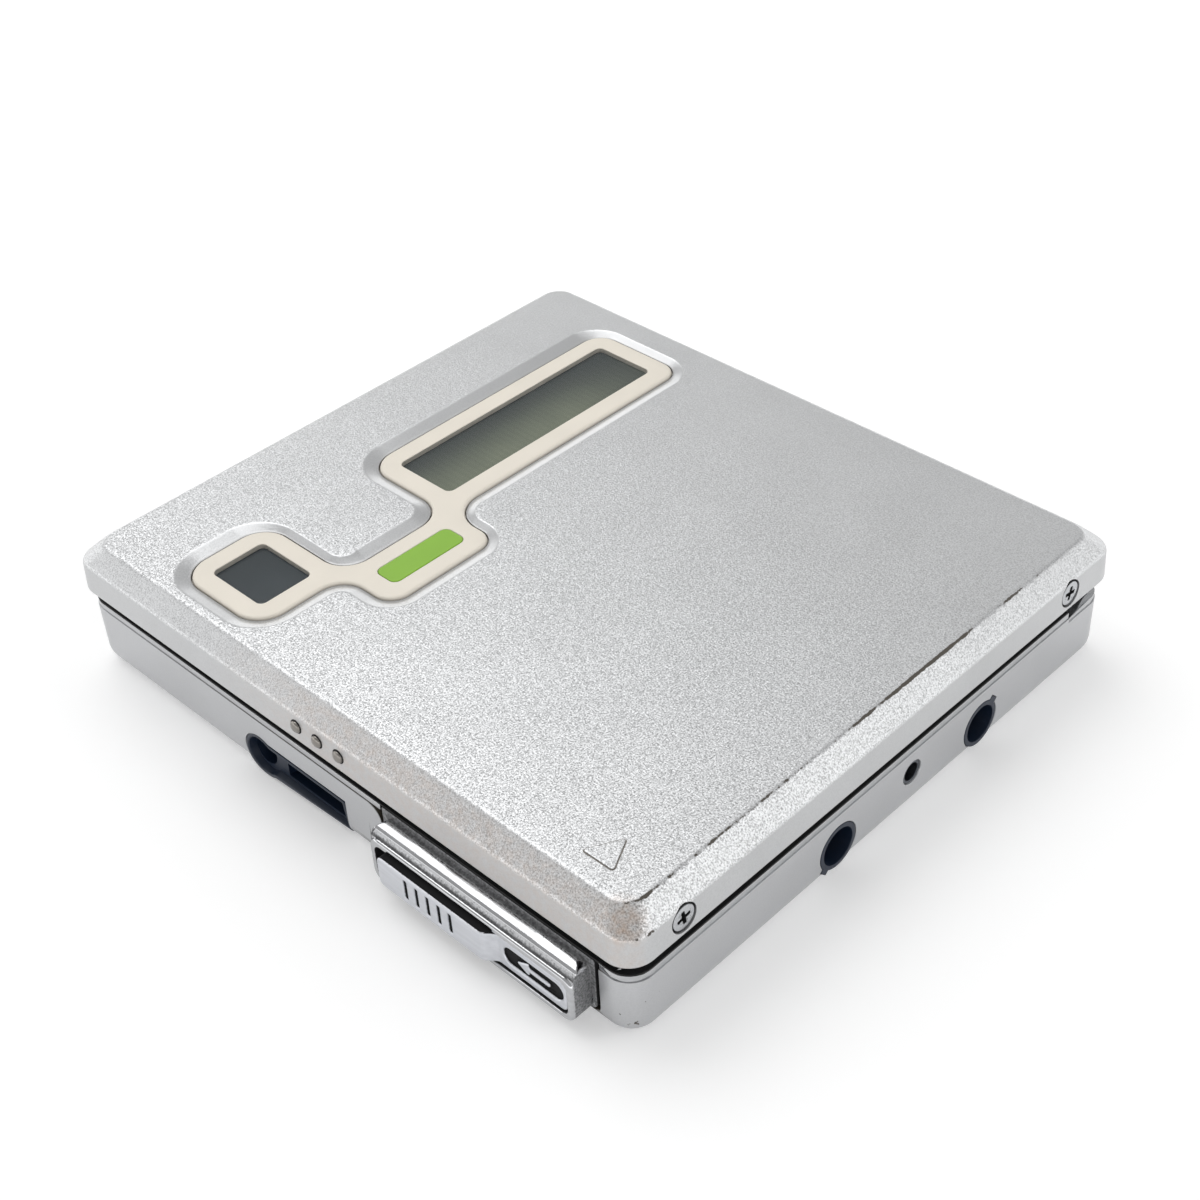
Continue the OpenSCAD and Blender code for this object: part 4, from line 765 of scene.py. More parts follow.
def smooth(obj: Piece, angle: float) -> None:
    """Shades an object smooth, with flat faces kept flat.

    Args:
        obj: The object.
        angle: Edges sharper than this stay sharp, in degrees.
    """
    obj.data.shade_smooth()
    obj.data.set_sharp_from_angle(angle=math.radians(angle))
    weigh = obj.modifiers.new("flat_faces_lead", "WEIGHTED_NORMAL")
    weigh.keep_sharp = True
    settle(obj)


def combine(obj: Piece, tool: Piece, operation: str) -> None:
    """Joins a solid to an object or cuts it out, and removes the tool.

    Args:
        obj: The object that is changed.
        tool: The solid.
        operation: UNION or DIFFERENCE.
    """
    step = obj.modifiers.new("solid", "BOOLEAN")
    step.operation = operation
    step.object = tool
    step.solver = "EXACT"
    settle(obj)
    bpy.data.objects.remove(tool)


def mount(obj: Piece, finish: Finish, body: str, *nodes: str, sharp: float = 0.0) -> None:
    """Gives a piece its finish and its place in the frame.

    Args:
        obj: The piece.
        finish: Its finish.
        body: Body that it rides on.
        *nodes: CAD nodes that it stands for.
        sharp: Edges sharper than this stay sharp, in degrees; with 0 the shading is left as it is.
    """
    if sharp:
        smooth(obj, sharp)
    obj.data.materials.clear()
    obj.data.materials.append(finish.material())
    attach(obj, body)
    if nodes:
        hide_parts(*nodes)
    LOG.info("%s rides on %s, %d faces", obj.name, body, len(obj.data.polygons))


def anywhere(_: Vector) -> bool:
    """Accepts every edge."""
    return True


@dataclass(frozen=True)
class Rounding:
    """One pass of edge rounding on a refined solid."""

    width: float
    steps: int = 2
    where: Callable[[Vector], bool] = anywhere
    angle: float = 30.0


def refined(node: str, finish: Finish, *passes: Rounding,
            shade_and_grit_at: Callable[[Vector], float] | None = None,
            shift: Callable[[Vector], Vector] | None = None) -> None:
    """Builds a piece from a CAD solid: merges its facets into faces and rounds its sharp edges.

    Args:
        node: Name of the CAD node.
        finish: Finish of the piece.
        *passes: Rounding passes, widest first.
        shade_and_grit_at: Gives the darkening on points, in millimetres, 0 to 1: painted shade and dark
            reflections in gaps and pockets, and some grit.
        shift: Gives how far points, in millimetres, sit off their place in the CAD solid.
    """
    source = frame["nodes"][node]
    solid = bmesh.new()
    solid.from_mesh(source.data)
    bmesh.ops.remove_doubles(solid, verts=solid.verts, dist=MERGE)
    bmesh.ops.dissolve_limit(solid, angle_limit=math.radians(1), verts=solid.verts, edges=solid.edges)
    for vert in solid.verts if shift else ():
        vert.co += shift(vert.co / MM) * MM
    for step in passes:
        edges = [e for e in solid.edges if len(e.link_faces) == 2
                 and math.degrees(e.calc_face_angle()) > step.angle
                 and step.where((e.verts[0].co + e.verts[1].co) / (2 * MM))]
        corners = list({v for e in edges for v in e.verts})
        bmesh.ops.bevel(solid, geom=edges + corners, offset=step.width * MM, segments=step.steps,
                        profile=0.5, affect="EDGES", clamp_overlap=False)
    # darkening layer: painted shade and dark reflections, with some grit
    grime = solid.verts.layers.float.new("grime")
    for vert in solid.verts:
        vert[grime] = shade_and_grit_at(vert.co / MM) if shade_and_grit_at else 0.0
    data = bpy.data.meshes.new(node + "_piece")
    solid.to_mesh(data)
    solid.free()
    for layer in ("custom_normal", "UVMap"):
        if layer in data.attributes:
            data.attributes.remove(data.attributes[layer])
    mount(place_object(node + "_piece", data), finish, source["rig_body"], node, sharp=35)


def begin_tree(name: str, sockets: dict[str, str]) -> tuple[Tree, bpy.types.Node]:
    """Starts a geometry tree.

    Args:
        name: Name of the tree.
        sockets: Name and kind of its inputs besides Geometry and Finish.

    Returns:
        The tree and its input node.
    """
    tree = bpy.data.node_groups.new(name, "GeometryNodeTree")
    inputs = {"Geometry": "Geometry"} | sockets | {"Finish": "Material"}
    for label, kind in inputs.items():
        tree.interface.new_socket(label, in_out="INPUT", socket_type="NodeSocket" + kind)
    tree.interface.new_socket("Geometry", in_out="OUTPUT", socket_type="NodeSocketGeometry")
    return tree, add_node(tree, "NodeGroupInput")


def end_tree(tree: Tree, given: bpy.types.Node, shape: Socket) -> Tree:
    """Gives the shape its finish and ends the tree.

    Args:
        tree: The tree.
        given: Its input node.
        shape: Output with the shape.

    Returns:
        The tree.
    """
    real = add_node(tree, "GeometryNodeRealizeInstances", {"Geometry": shape})
    dressed = add_node(tree, "GeometryNodeSetMaterial", {"Geometry": real.outputs[0],
                                                         "Material": given.outputs["Finish"]})
    add_node(tree, "NodeGroupOutput", {0: dressed.outputs[0]})
    return tree


def scatter_tree(name: str) -> Tree:
    """Geometry tree that sets a template on every point of a mesh, turned to the point's axis.

    Args:
        name: Name of the tree.

    Returns:
        The tree, with inputs Template and Finish.
    """
    tree, given = begin_tree(name, {"Template": "Object"})
    axis = add_node(tree, "GeometryNodeInputNamedAttribute", {"Name": "axis"}, data_type="FLOAT_VECTOR")
    spin = add_node(tree, "GeometryNodeInputNamedAttribute", {"Name": "spin"}, data_type="FLOAT")
    aim = add_node(tree, "FunctionNodeAlignRotationToVector", {"Vector": axis.outputs[0]}, axis="Z")
    twist = add_node(tree, "FunctionNodeAxisAngleToRotation", {"Axis": (0, 0, 1), "Angle": spin.outputs[0]})
    turn = add_node(tree, "FunctionNodeRotateRotation", {0: aim.outputs[0], 1: twist.outputs[0]},
                    rotation_space="LOCAL")
    template = add_node(tree, "GeometryNodeObjectInfo", {"Object": given.outputs["Template"]})
    points = add_node(tree, "GeometryNodeMeshToPoints", {"Mesh": given.outputs["Geometry"]})
    copies = add_node(tree, "GeometryNodeInstanceOnPoints",
                      {"Points": points.outputs[0], "Instance": template.outputs["Geometry"],
                       "Rotation": turn.outputs[0]})
    return end_tree(tree, given, copies.outputs[0])


def coil_tree(name: str) -> Tree:
    """Geometry tree that winds a wire into a coil along Z.

    Args:
        name: Name of the tree.

    Returns:
        The tree, with inputs Coil radius, Wire radius, Turns, Length and Finish.
    """
    tree, given = begin_tree(name, dict.fromkeys(("Coil radius", "Wire radius", "Turns", "Length"), "Float"))
    wind = add_node(tree, "GeometryNodeCurveSpiral",
                    {"Resolution": 24, "Rotations": given.outputs["Turns"],
                     "Start Radius": given.outputs["Coil radius"],
                     "End Radius": given.outputs["Coil radius"], "Height": given.outputs["Length"]})
    wire = add_node(tree, "GeometryNodeCurvePrimitiveCircle",
                    {"Resolution": 10, "Radius": given.outputs["Wire radius"]})
    tube = add_node(tree, "GeometryNodeCurveToMesh",
                    {"Curve": wind.outputs[0], "Profile Curve": wire.outputs[0], "Fill Caps": True})
    return end_tree(tree, given, tube.outputs[0])


def run_tree(obj: Piece, tree: Tree, values: dict) -> None:
    """Runs a geometry tree on an object and keeps its result as plain mesh.

    Args:
        obj: The object.
        tree: The tree.
        values: Value of each named input.
    """
    step = obj.modifiers.new("tree", "NODES")
    step.node_group = tree
    for item in tree.interface.items_tree:
        if item.in_out == "INPUT" and item.name in values:
            step[item.identifier] = values[item.name]
    settle(obj)


@dataclass(frozen=True)
class Seat:
    """Where a repeated piece sits: place in millimetres, the way it looks, and its turn about that."""

    place: Point
    axis: Point
    spin: float = 0.0


def repeated(name: str, template: bpy.types.Mesh, seats: Sequence[Seat], finish: Finish, body: Body,
             node: str) -> None:
    """Builds one piece from copies of a template on their seats.

    Args:
        name: Name of the piece.
        template: Mesh that looks along +Z.
        seats: Where the copies sit.
        finish: Their finish.
        body: Body that they ride on.
        node: CAD node that they stand for.
    """
    data = bpy.data.meshes.new(name)
    data.from_pydata([Vector(s.place) * MM for s in seats], [], [])
    axes, spins = [c for s in seats for c in s.axis], [s.spin for s in seats]
    data.attributes.new("axis", "FLOAT_VECTOR", "POINT").data.foreach_set("vector", axes)
    data.attributes.new("spin", "FLOAT", "POINT").data.foreach_set("value", spins)
    holder = place_object(name, data)
    model = place_object(name + "_template", template)
    run_tree(holder, scatter_tree(name + "_tree"), {"Template": model, "Finish": finish.material()})
    bpy.data.objects.remove(model)
    mount(holder, finish, body.value, node, sharp=35)


def turned(radius: float, z: float, steps: int = 12) -> Ring:
    """Ring of a turned piece, with so many points along a quarter."""
    return [Vector((n.x * radius, n.y * radius, z)) for n in box_outline(0, 0, 2, 2, 1.0, steps).outward]


def screw_mesh(head: float, shank: float, length: float, slot: float = 0.24) -> bpy.types.Mesh:
    """Countersunk screw with a cross recess, head up at z = 0, with painted shade and some grit in the gap
    round its head.

    Args:
        head: Radius of the head.
        shank: Radius of the shank.
        length: Whole length.
        slot: Half width of the recess.

    Returns:
        The screw's mesh.
    """
    sketch = Sketch()
    collar = head + 0.2
    profile = ((shank * 0.7, -length), (shank, -length + 0.2), (shank, shank - collar - 0.2), (collar, -0.2),
               (collar, -0.12), (head, -0.12), (head, -0.06), (head - 0.02, -0.02), (head - 0.1, 0.0))
    # the collar in the gap round the head is darkened: painted shade, with some grit
    first, last = sketch.loft([turned(r, z) for r, z in profile], None,
                              [0.0, 0.0, 0.0, 1.0, 1.0, 1.0, 0.7, 0.0, 0.0])
    sketch.fill(first)
    arm = head * 0.62
    corners = []
    for quarter in range(4):
        spin = Matrix.Rotation(QUARTER * quarter, 2)
        for x, y, r in ((arm, -slot, 0.1), (arm, slot, 0.1), (slot, slot, 0.06)):
            corners.append((*(spin @ Vector((x, y))), r))
    cross = rounded(corners, 4)
    mouth, floor = sketch.loft([cross.at(0.0), cross.at(-0.02, -0.02), cross.at(-0.5, -0.1)], None,
                               [0.5, 1.0, 1.0])
    sketch.fill(last, mouth)
    sketch.fill(floor)
    return sketch.data("screw_template")


def dome_mesh(radius: float, rise: float, skirt: float) -> bpy.types.Mesh:
    """Round-headed button, looking along +Z, with painted shade in the gap round its foot.

    Args:
        radius: Radius of the button.
        rise: Height of the dome.
        skirt: How far it reaches below z = 0.

    Returns:
        The button's mesh.
    """
    sketch = Sketch()
    profile = [(radius + 0.12, -skirt), (radius + 0.12, -0.06), (radius, -0.06)]
    for k in range(10):
        angle = QUARTER * k / 10
        profile.append((radius * math.cos(angle), rise * math.sin(angle)))
    # painted shade on the skirt and foot, in the gap round the button
    sketch.solid([turned(r, z, 8) for r, z in profile], [1.0, 1.0, 1.0, 0.4] + [0.0] * 9)
    return sketch.data("dome_template")


@dataclass
class Lid:
    """The lid: lacquered cover, display bezel, windows, screws and domes. Sizes in millimetres."""

    width: float = 86.0
    depth: float = 77.2
    corner: float = 3.0
    crease_corner: float = 2.4
    edge_z: float = 10.5
    crease_z: float = 14.0
    top_z: float = 16.1
    chamfer: float = 2.1
    draft: float = 0.15
    wall: float = 1.0
    ceiling_z: float = 15.2
    crease_round: float = 0.28
    recess: float = 0.55
    recess_from: float = 2.05
    recess_soft: float = 0.17
    recess_to: float = 0.13
    bezel_face: float = 15.85
    screw_z: float = 12.55
    screw_y: tuple[float, float] = (-31.4, 29.7)
    dome_x: Point = (-3.4, -0.1, 3.2)
    dome_z: float = 12.45
    pin: tuple[float, float] = (35.4, 10.0)
    bezel: Outline = field(init=False)
    lcd: Outline = field(init=False)
    icon: Outline = field(init=False)
    lamp: Outline = field(init=False)
    arrow: Outline = field(init=False)

    def __post_init__(self) -> None:
        """Works out the outlines of the bezel, its openings and the raised direction mark."""
        self.bezel = rounded([
            (-29.0, -6.6, 3.4), (-15.5, -6.6, 3.8), (-15.5, -21.45, 3.4), (-29.15, -21.45, 3.5),
            (-29.15, -33.45, 3.5), (-15.3, -33.45, 3.5), (-15.3, -21.75, 3.3), (-7.5, -21.75, 2.5),
            (-7.5, -6.45, 2.3), (-15.1, -6.45, 4.2), (-15.1, 31.95, 2.5), (-28.95, 31.95, 2.8)], 14)
        self.lcd = box_outline(-22.1, 12.7, 8.7, 33.5, 0.8, 6)
        self.icon = box_outline(-22.25, -27.45, 8.7, 7.1, 0.8, 6)
        self.lamp = box_outline(-11.5, -13.95, 3.4, 10.5, 0.9, 6)
        self.arrow = rounded([(32.75, -33.85, 0.2), (36.62, -33.8, 0.2), (34.82, -30.18, 0.2)], 4)

    def build(self) -> None:
        """Builds every piece of the lid."""
        self.shell()
        self.mark_shade()
        self.bezel_frame()
        self.windows()
        refined("indicator_lens", GREEN_ACRYLIC, Rounding(0.1, 3))
        self.fasteners()

    def shell(self) -> None:
        """Builds the lacquered cover."""
        sketch = Sketch()
        side = box_outline(0, 0, self.width, self.depth, self.corner, 12)
        inset = 2 * (self.chamfer + self.draft)
        flat = box_outline(0, 0, self.width - inset, self.depth - inset, self.crease_corner, 12)
        low, high = side.at(self.crease_z, -self.draft), flat.at(self.top_z)
        share = self.crease_round / self.chamfer
        under = side.at(self.crease_z - self.crease_round, -self.draft * 0.93)
        rings = eased(side.at(self.edge_z, -0.2), side.at(self.edge_z), side.at(self.edge_z + 0.2), 3)
        rings += [side.at(self.crease_z - 0.75, -self.draft * 0.8)]
        rings += eased(under, low, lerp_ring(low, high, share))
        rings += [lerp_ring(low, high, 0.36), lerp_ring(low, high, 0.66)]
        rings += eased(lerp_ring(low, high, 1 - share), high, flat.at(self.top_z, -self.crease_round))
        rings += [flat.at(self.top_z, -0.5)]
        wear = [0.0] * 5 + [0.4, 0.75, 1.0, 1.0, 0.75, 0.4]
        wear += [0.0] * 2 + [0.2, 0.65, 1.0, 1.0, 0.65, 0.2] + [0.0]
        first, top = sketch.loft(rings, wear)
        for vert in sketch.mesh.verts:
            # the corners are worn less than the long creases
            if abs(vert.co.x) > 39.3 * MM and abs(vert.co.y) > 34.3 * MM:
                vert[sketch.wear] *= 0.7
        slope = [self.dish(k / 14) for k in range(15)] + [self.bezel.at(self.ceiling_z, 0.1)]
        # painted shade at the foot of the dished slope, in the gap beside the bezel
        rim, hole = sketch.loft(slope, [0.0, -0.5] + [-1.0] * 14, [0.0] * 12 + [0.1, 0.25, 0.7, 1.0])
        sketch.fill(top, rim)
        foot, roof = sketch.loft([side.at(self.edge_z, -self.wall), side.at(13.6, -self.wall - self.draft),
                                  flat.at(self.ceiling_z, -0.41)])
        sketch.bridge(first, foot)
        sketch.fill(roof, hole)
        piece = sketch.piece("lid_cover")
        combine(piece, self.lugs(), "UNION")
        combine(piece, self.holes(), "DIFFERENCE")
        mount(piece, LID_LACQUER, Body.LID.value, "lid_shell", sharp=40)

    def dish(self, t: float) -> Ring:
        """Gives a ring of the dished slope round the bezel, which is steeper along its back end.

        Args:
            t: Place on the slope, 0 at the lid's flat top and 1 beside the bezel.

        Returns:
            The ring.
        """
        soft = self.recess_soft
        end = min(t, 1 - t)
        fall = end * end / (2 * soft * (1 - soft)) if end < soft else (end - soft / 2) / (1 - soft)
        fall = fall if t < 0.5 else 1 - fall
        z = self.top_z - self.recess * fall
        reach = self.recess_from - self.recess_to
        grow = [self.recess_to + reach * (1 - t) * (1 - 0.5 * max(n.y, 0.0)) for n in self.bezel.outward]
        return [Vector((p.x + n.x * g, p.y + n.y * g, z))
                for p, n, g in zip(self.bezel.points, self.bezel.outward, grow)]

    def lugs(self) -> Piece:
        """Makes the two hinge lugs, joined to the side walls, and the raised direction mark.

        Returns:
            One object with these solids.
        """
        sketch = Sketch()
        front, back, top = 33.8, 37.0, 13.6
        for side in (-1, 1):
            upright = Matrix(((0, 0, side, 0), (1, 0, 0, 0), (0, 1, 0, 0), (0, 0, 0, 1)))
            lug = rounded([(front, 8.4, 1.55), (back, 8.4, 1.55), (back, top, 0.2), (front, top, 0.2)], 8)
            sketch.prism(lug, 39.4, 41.6, 0.0, upright)
            sketch.prism(span_outline(front, 35.9, 11.0, top, 0.2), 41.55, 42.5, 0.0, upright)
        sketch.prism(self.arrow, 15.7, self.top_z + 0.12, 0.04)
        return sketch.piece("lugs")

    def mark_shade(self) -> None:
        """Builds a thin dark ring round the raised direction mark: painted shade for the groove round it."""
        sketch = Sketch()
        low, high = self.top_z - 0.2, self.top_z + 0.012
        spots = ((low, -0.02), (high, -0.02), (high, 0.13), (low, 0.13))
        sketch.hoop([self.arrow.at(z, grow) for z, grow in spots])
        mount(sketch.piece("direction_mark_line"), MARK_GROOVE_SHADE, Body.LID.value)

    def holes(self) -> Piece:
        """Makes the solids that cut the screw seats, dome holes and hinge bores.

        Returns:
            One object with these solids.
        """
        sketch = Sketch()

        def bore(profile: Sequence[tuple[float, float]], place: Point, spin: float, axis: str) -> None:
            """Adds a turned solid from radius and height pairs."""
            turn = Matrix.Translation(place) @ Matrix.Rotation(spin, 4, axis)
            sketch.solid([[turn @ p for p in turned(r, z, 10)] for r, z in profile])

        seat = ((0.72, -2.5), (0.72, -1.1), (1.63, -0.2), (1.63, 0.5))
        for side in (-1, 1):
            for y in self.screw_y:
                wall = side * (self.width / 2 - self.draft * 0.8)
                bore(seat, (wall, y, self.screw_z), side * QUARTER, "Y")
            bore(((0.8, 38.5), (0.8, 42.2)), (0, *self.pin), side * QUARTER, "Y")
        for x in self.dome_x:
            bore(((0.84, -2.0), (0.84, 0.5)), (x, -self.depth / 2, self.dome_z), QUARTER, "X")
        return sketch.piece("holes")

    def bezel_frame(self) -> None:
        """Builds the cream bezel with its three openings."""
        sketch = Sketch()
        face, base, ledge, edge = self.bezel_face, 14.6, 15.1, 0.5
        rings = [self.bezel.at(base, 0.8), self.bezel.at(ledge, 0.8), self.bezel.at(ledge)]
        rings += eased(self.bezel.at(face - edge), self.bezel.at(face), self.bezel.at(face, -edge), 6)
        first, last = sketch.loft(rings)
        tops, feet = [], []
        for opening in (self.lcd, self.icon, self.lamp):
            steps = eased(opening.at(face, 0.12), opening.at(face), opening.at(face - 0.12), 3)
            top, foot = sketch.loft(steps + [opening.at(base)])
            tops.append(top)
            feet.append(foot)
        sketch.fill(last, *tops)
        sketch.fill(first, *feet)
        mount(sketch.piece("bezel_moulding"), CREAM_ABS, Body.LID.value, "display_bezel", sharp=40)

    def windows(self) -> None:
        """Builds the two panes and the display cells close under them."""
        face = self.bezel_face
        panes = {"lcd_window": WINDOW, "icon_window": WINDOW}
        cells = {"lcd_panel": LCD_CELL, "icon_panel": ICON_CELL}
        for part, looks, gap, low, high, edge in (("_pane", panes, 0.02, face - 0.56, face - 0.06, 0.05),
                                                  ("_cell", cells, 0.04, 14.07, face - 0.6, 0.03)):
            for opening, (node, finish) in zip((self.lcd, self.icon), looks.items()):
                sketch = Sketch()
                sketch.prism(opening.shrunk(gap), low, high, edge)
                mount(sketch.piece(node + part), finish, Body.LID.value, node, sharp=40)

    def fasteners(self) -> None:
        """Builds the four lid screws and the three domes."""
        seats = [Seat((side * 42.86, y, self.screw_z), (side, 0, 0), 0.5 + side * 0.3 + y * 0.02)
                 for side in (-1, 1) for y in self.screw_y]
        repeated("lid_screw_set", screw_mesh(1.4, 0.6, 2.2), seats, TURNED_STEEL, Body.LID, "lid_screws")
        seats = [Seat((x, -self.depth / 2, self.dome_z), (0, -1, 0)) for x in self.dome_x]
        repeated("lid_dome_set", dome_mesh(0.7, 0.34, 0.8), seats, WORN_NICKEL, Body.LID, "lid_domes")


def rim_drop(p: Vector) -> float:
    """Gives how far the base's rim sits low, as the lid stands a little open at its front right."""
    return 0.35 + 0.0036 * p.x - 0.004 * p.y


@dataclass
class FrontBar:
    """The chrome bar on the front and the opening slider in it. Sizes in millimetres."""

    x: float = 23.2
    z: float = 4.1
    front: float = -40.6
    width: float = 28.2
    height: float = 5.8
    rim_foot: float = 8.9
    crown_foot: float = 6.95
    crown_front: float = -40.2
    crown_depth: float = 2.1
    crown_rise: float = 1.2
    solid_rise: float = 1.35
    slider_front: float = -41.4

    def build(self) -> None:
        """Builds the bar and the slider."""
        refined("slider_frame", CHROME, Rounding(0.34, 5, self.outer_edge), Rounding(0.12, 2),
                shade_and_grit_at=self.bar_shade_and_grit, shift=self.settled)
        refined("open_slider", SATIN_NICKEL, Rounding(0.18, 3), shade_and_grit_at=self.behind)

    def settled(self, p: Vector) -> Vector:
        """Gives how the strip of rim behind the bar has settled, and how the bar's crown swells.

        Args:
            p: Point in millimetres.

        Returns:
            How far the point moves.
        """
        if p.z > self.rim_foot:
            return Vector((0, 0, -rim_drop(p)))
        u = (p.y - self.crown_front) / self.crown_depth
        if p.z < self.crown_foot + 0.01 or not 0.05 < u < 1.02:
            return Vector()
        swell = self.crown_rise * math.sqrt(max(1 - (1 - u) ** 2, 0.0))
        swell /= self.solid_rise * math.sin(min(u, 1.0) * QUARTER)
        return Vector((0, 0, (p.z - self.crown_foot) * (swell - 1)))

    def behind(self, p: Vector) -> float:
        """Gives the darkening on the slider, which lies behind its front face: a dark reflection painted on
        its edges, and its grooves painted dark.
        """
        t = held((p.x - 25.65) / 1.8)
        return 1.0 if p.y > self.slider_front + t * t * (3 - 2 * t) + 0.1 else 0.0

    def bar_shade_and_grit(self, p: Vector) -> float:
        """Gives the painted shade and dark reflections on the bar, with some grit on its ends.

        Args:
            p: Point in millimetres.

        Returns:
            The darkening, 0 to 1: painted shade, thick in the slider's pocket and beside the panel; thinner
                painted dark reflections elsewhere, with some grit on the ends.
        """
        across, up = abs(p.x - self.x), abs(p.z - self.z)
        pocket = across < self.width / 2 - 0.6 and up < self.height / 2 - 0.6
        # painted shade deep in the slider's pocket
        if pocket and self.front + 0.07 < p.y < self.front + 2.3:
            return 1.0
        # painted shade in the gap beside the panel
        if across > 14.4 and p.y > -38.05:
            return 1.0
        # dark reflection painted on the bar's ends, with some grit
        if across > self.width / 2 - 0.15 and p.y > self.front + 0.3:
            return 0.75
        # painted shade in the crease between the rim and the crown
        if 6.9 < p.z < 7.2 and -40.32 < p.y < -40.1:
            return 0.9
        # dark reflection painted on the back of the crown
        crown = 7.3 < p.z < 8.5 and -38.95 < p.y < -38.0
        return 0.85 * held((p.y + 38.95) / 0.35) if crown else 0.0

    def outer_edge(self, p: Vector) -> bool:
        """Tells whether an edge lies on the bar's outer front rim."""
        wide = abs(p.x - self.x) > self.width / 2 - 0.4 or abs(p.z - self.z) > self.height / 2 - 0.4
        return p.y < self.front + 0.05 and wide


@dataclass
class BaseCase:
    """The base: lacquered pan, chrome rim, sockets, keys and door. Sizes in millimetres."""

    wall_x: float = 42.5
    wall_y: float = 38.1
    rim_z: float = 8.4
    rim_top: float = 9.2
    hinge_y: float = 31.05
    jack_x: float = -12.1
    jack_z: float = 2.9
    rim_at: tuple[float, float] = (-11.65, 2.87)
    rim_r: float = 2.8
    slot_h: float = 4.6
    foot_r: float = 2.2
    slot_end: float = 2.2
    screws: tuple = ((-36.5, -32.5), (36.5, -32.5), (36.5, 32.5), (-36.5, 14.2))

    def build(self) -> None:
        """Builds every outside piece of the base."""
        refined("base_shell", BASE_LACQUER, Rounding(0.12, 2, self.outside), shade_and_grit_at=self.notch_shade,
                shift=self.settled)
        refined("mid_frame", CHROME, Rounding(0.15, 2, self.band), shift=self.settled)
        self.jack()
        self.seam_shade()
        for node, finish, edge in (("terminal_bushes", BLACK_ABS, Rounding(0.1)),
                                   ("case_screw_insert", DULL_STEEL, Rounding(0.1)),
                                   ("battery_door", BASE_LACQUER, Rounding(0.12)),
                                   ("play_key", KEY_ABS, Rounding(0.15, 3)),
                                   ("stop_key", KEY_ABS, Rounding(0.15, 3)),
                                   ("volume_rocker", KEY_ABS, Rounding(0.15, 3)),
                                   ("hold_switch", KEY_ABS, Rounding(0.04))):
            refined(node, finish, edge)
        seats = [Seat((x, y, 0.06), (0, 0, -1), 0.4 + 0.05 * x) for x, y in self.screws]
        repeated("bottom_screw_set", screw_mesh(1.3, 0.6, 4.2), seats, TURNED_STEEL, Body.BASE,
                 "bottom_screws")

    def settled(self, p: Vector) -> Vector:
        """Gives how a point of the rim sits low, with a wide gap beside the bar; the part at the hinge stays.

        Args:
            p: Point in millimetres.

        Returns:
            How far the point moves.
        """
        drop = -rim_drop(p)
        front = p.y < -self.wall_y + 1.6
        if front and 5.0 < p.x < 40.5:
            side = 0.0
            if p.x < 8.6:
                side = -max(p.x - 6.15, 0.0) / 2.2
            elif p.x > 37.8:
                side = max(40.25 - p.x, 0.0) / 2.2
            return Vector((0.24 * side, 0, drop * held((p.z - 6.2) / (self.rim_z - 6.2))))
        near = abs(p.x) > self.wall_x - 1.6 or front
        return Vector((0, 0, drop)) if near and p.z > 7.7 and p.y < self.hinge_y else Vector()

    def notch_shade(self, p: Vector) -> float:
        """Gives the painted shade on the base: on the faces of the notch that the bar stands in."""
        notch = 6.0 < p.x < 38.6 and -self.wall_y + 0.06 < p.y < -self.wall_y + 1.2
        return 1.0 if notch and p.z > 1.2 else 0.0

    def keyhole(self, fillet: float = 0.7) -> Outline:
        """Front outline of the jack and remote socket: a round opening that runs into a slot.

        Args:
            fillet: Radius of the hollow corners between the two.

        Returns:
            The outline, with height as its second coordinate.
        """
        half = self.slot_h / 2
        reach = math.sqrt((self.rim_r + fillet) ** 2 - (half + fillet) ** 2)
        lean = math.atan2(half + fillet, reach)
        points, outward = [], []

        def arc(centre: tuple[float, float], radius: float, start: float, turn: float, part: Sequence[float],
                side: int) -> None:
            """Adds points of an arc.

            Args:
                centre: Its centre.
                radius: Its radius.
                start: Its first angle.
                turn: The angle that it runs over.
                part: Shares of the turn at which points lie.
                side: 1 if the outline's outside is outside the arc, -1 if it is inside.
            """
            for share in part:
                way = Vector((math.cos(start + turn * share), math.sin(start + turn * share)))
                points.append(Vector(centre) + way * radius)
                outward.append(way * side)

        fifths = [k / 5 for k in range(6)]
        arc((0, 0), self.rim_r, lean, 2 * math.pi - 2 * lean, [k / 32 for k in range(33)], 1)
        arc((reach, -half - fillet), fillet, math.pi - lean, lean - QUARTER, fifths[1:], -1)
        end = self.slot_end - self.rim_at[0]
        points += [Vector((end, -half)), Vector((end, half))]
        outward += [Vector((1, -1)), Vector((1, 1))]
        arc((reach, half + fillet), fillet, -QUARTER, lean - QUARTER, fifths[:5], -1)
        return Outline(tuple(p + Vector(self.rim_at) for p in points), tuple(outward))

    def foot(self, p: Vector) -> Vector:
        """Gives how far a point of the jack's rim leans back, to meet the rounded foot of the base.

        Args:
            p: Point in millimetres, with its height as second coordinate.

        Returns:
            How far the point moves.
        """
        low = self.foot_r - held(p.y, 0.0, self.foot_r)
        share = 0.1 + 0.65 * held((p.x + 9.0) / 2.0)
        return Vector((0, 0, share * (self.foot_r - math.sqrt(self.foot_r ** 2 - low ** 2))))

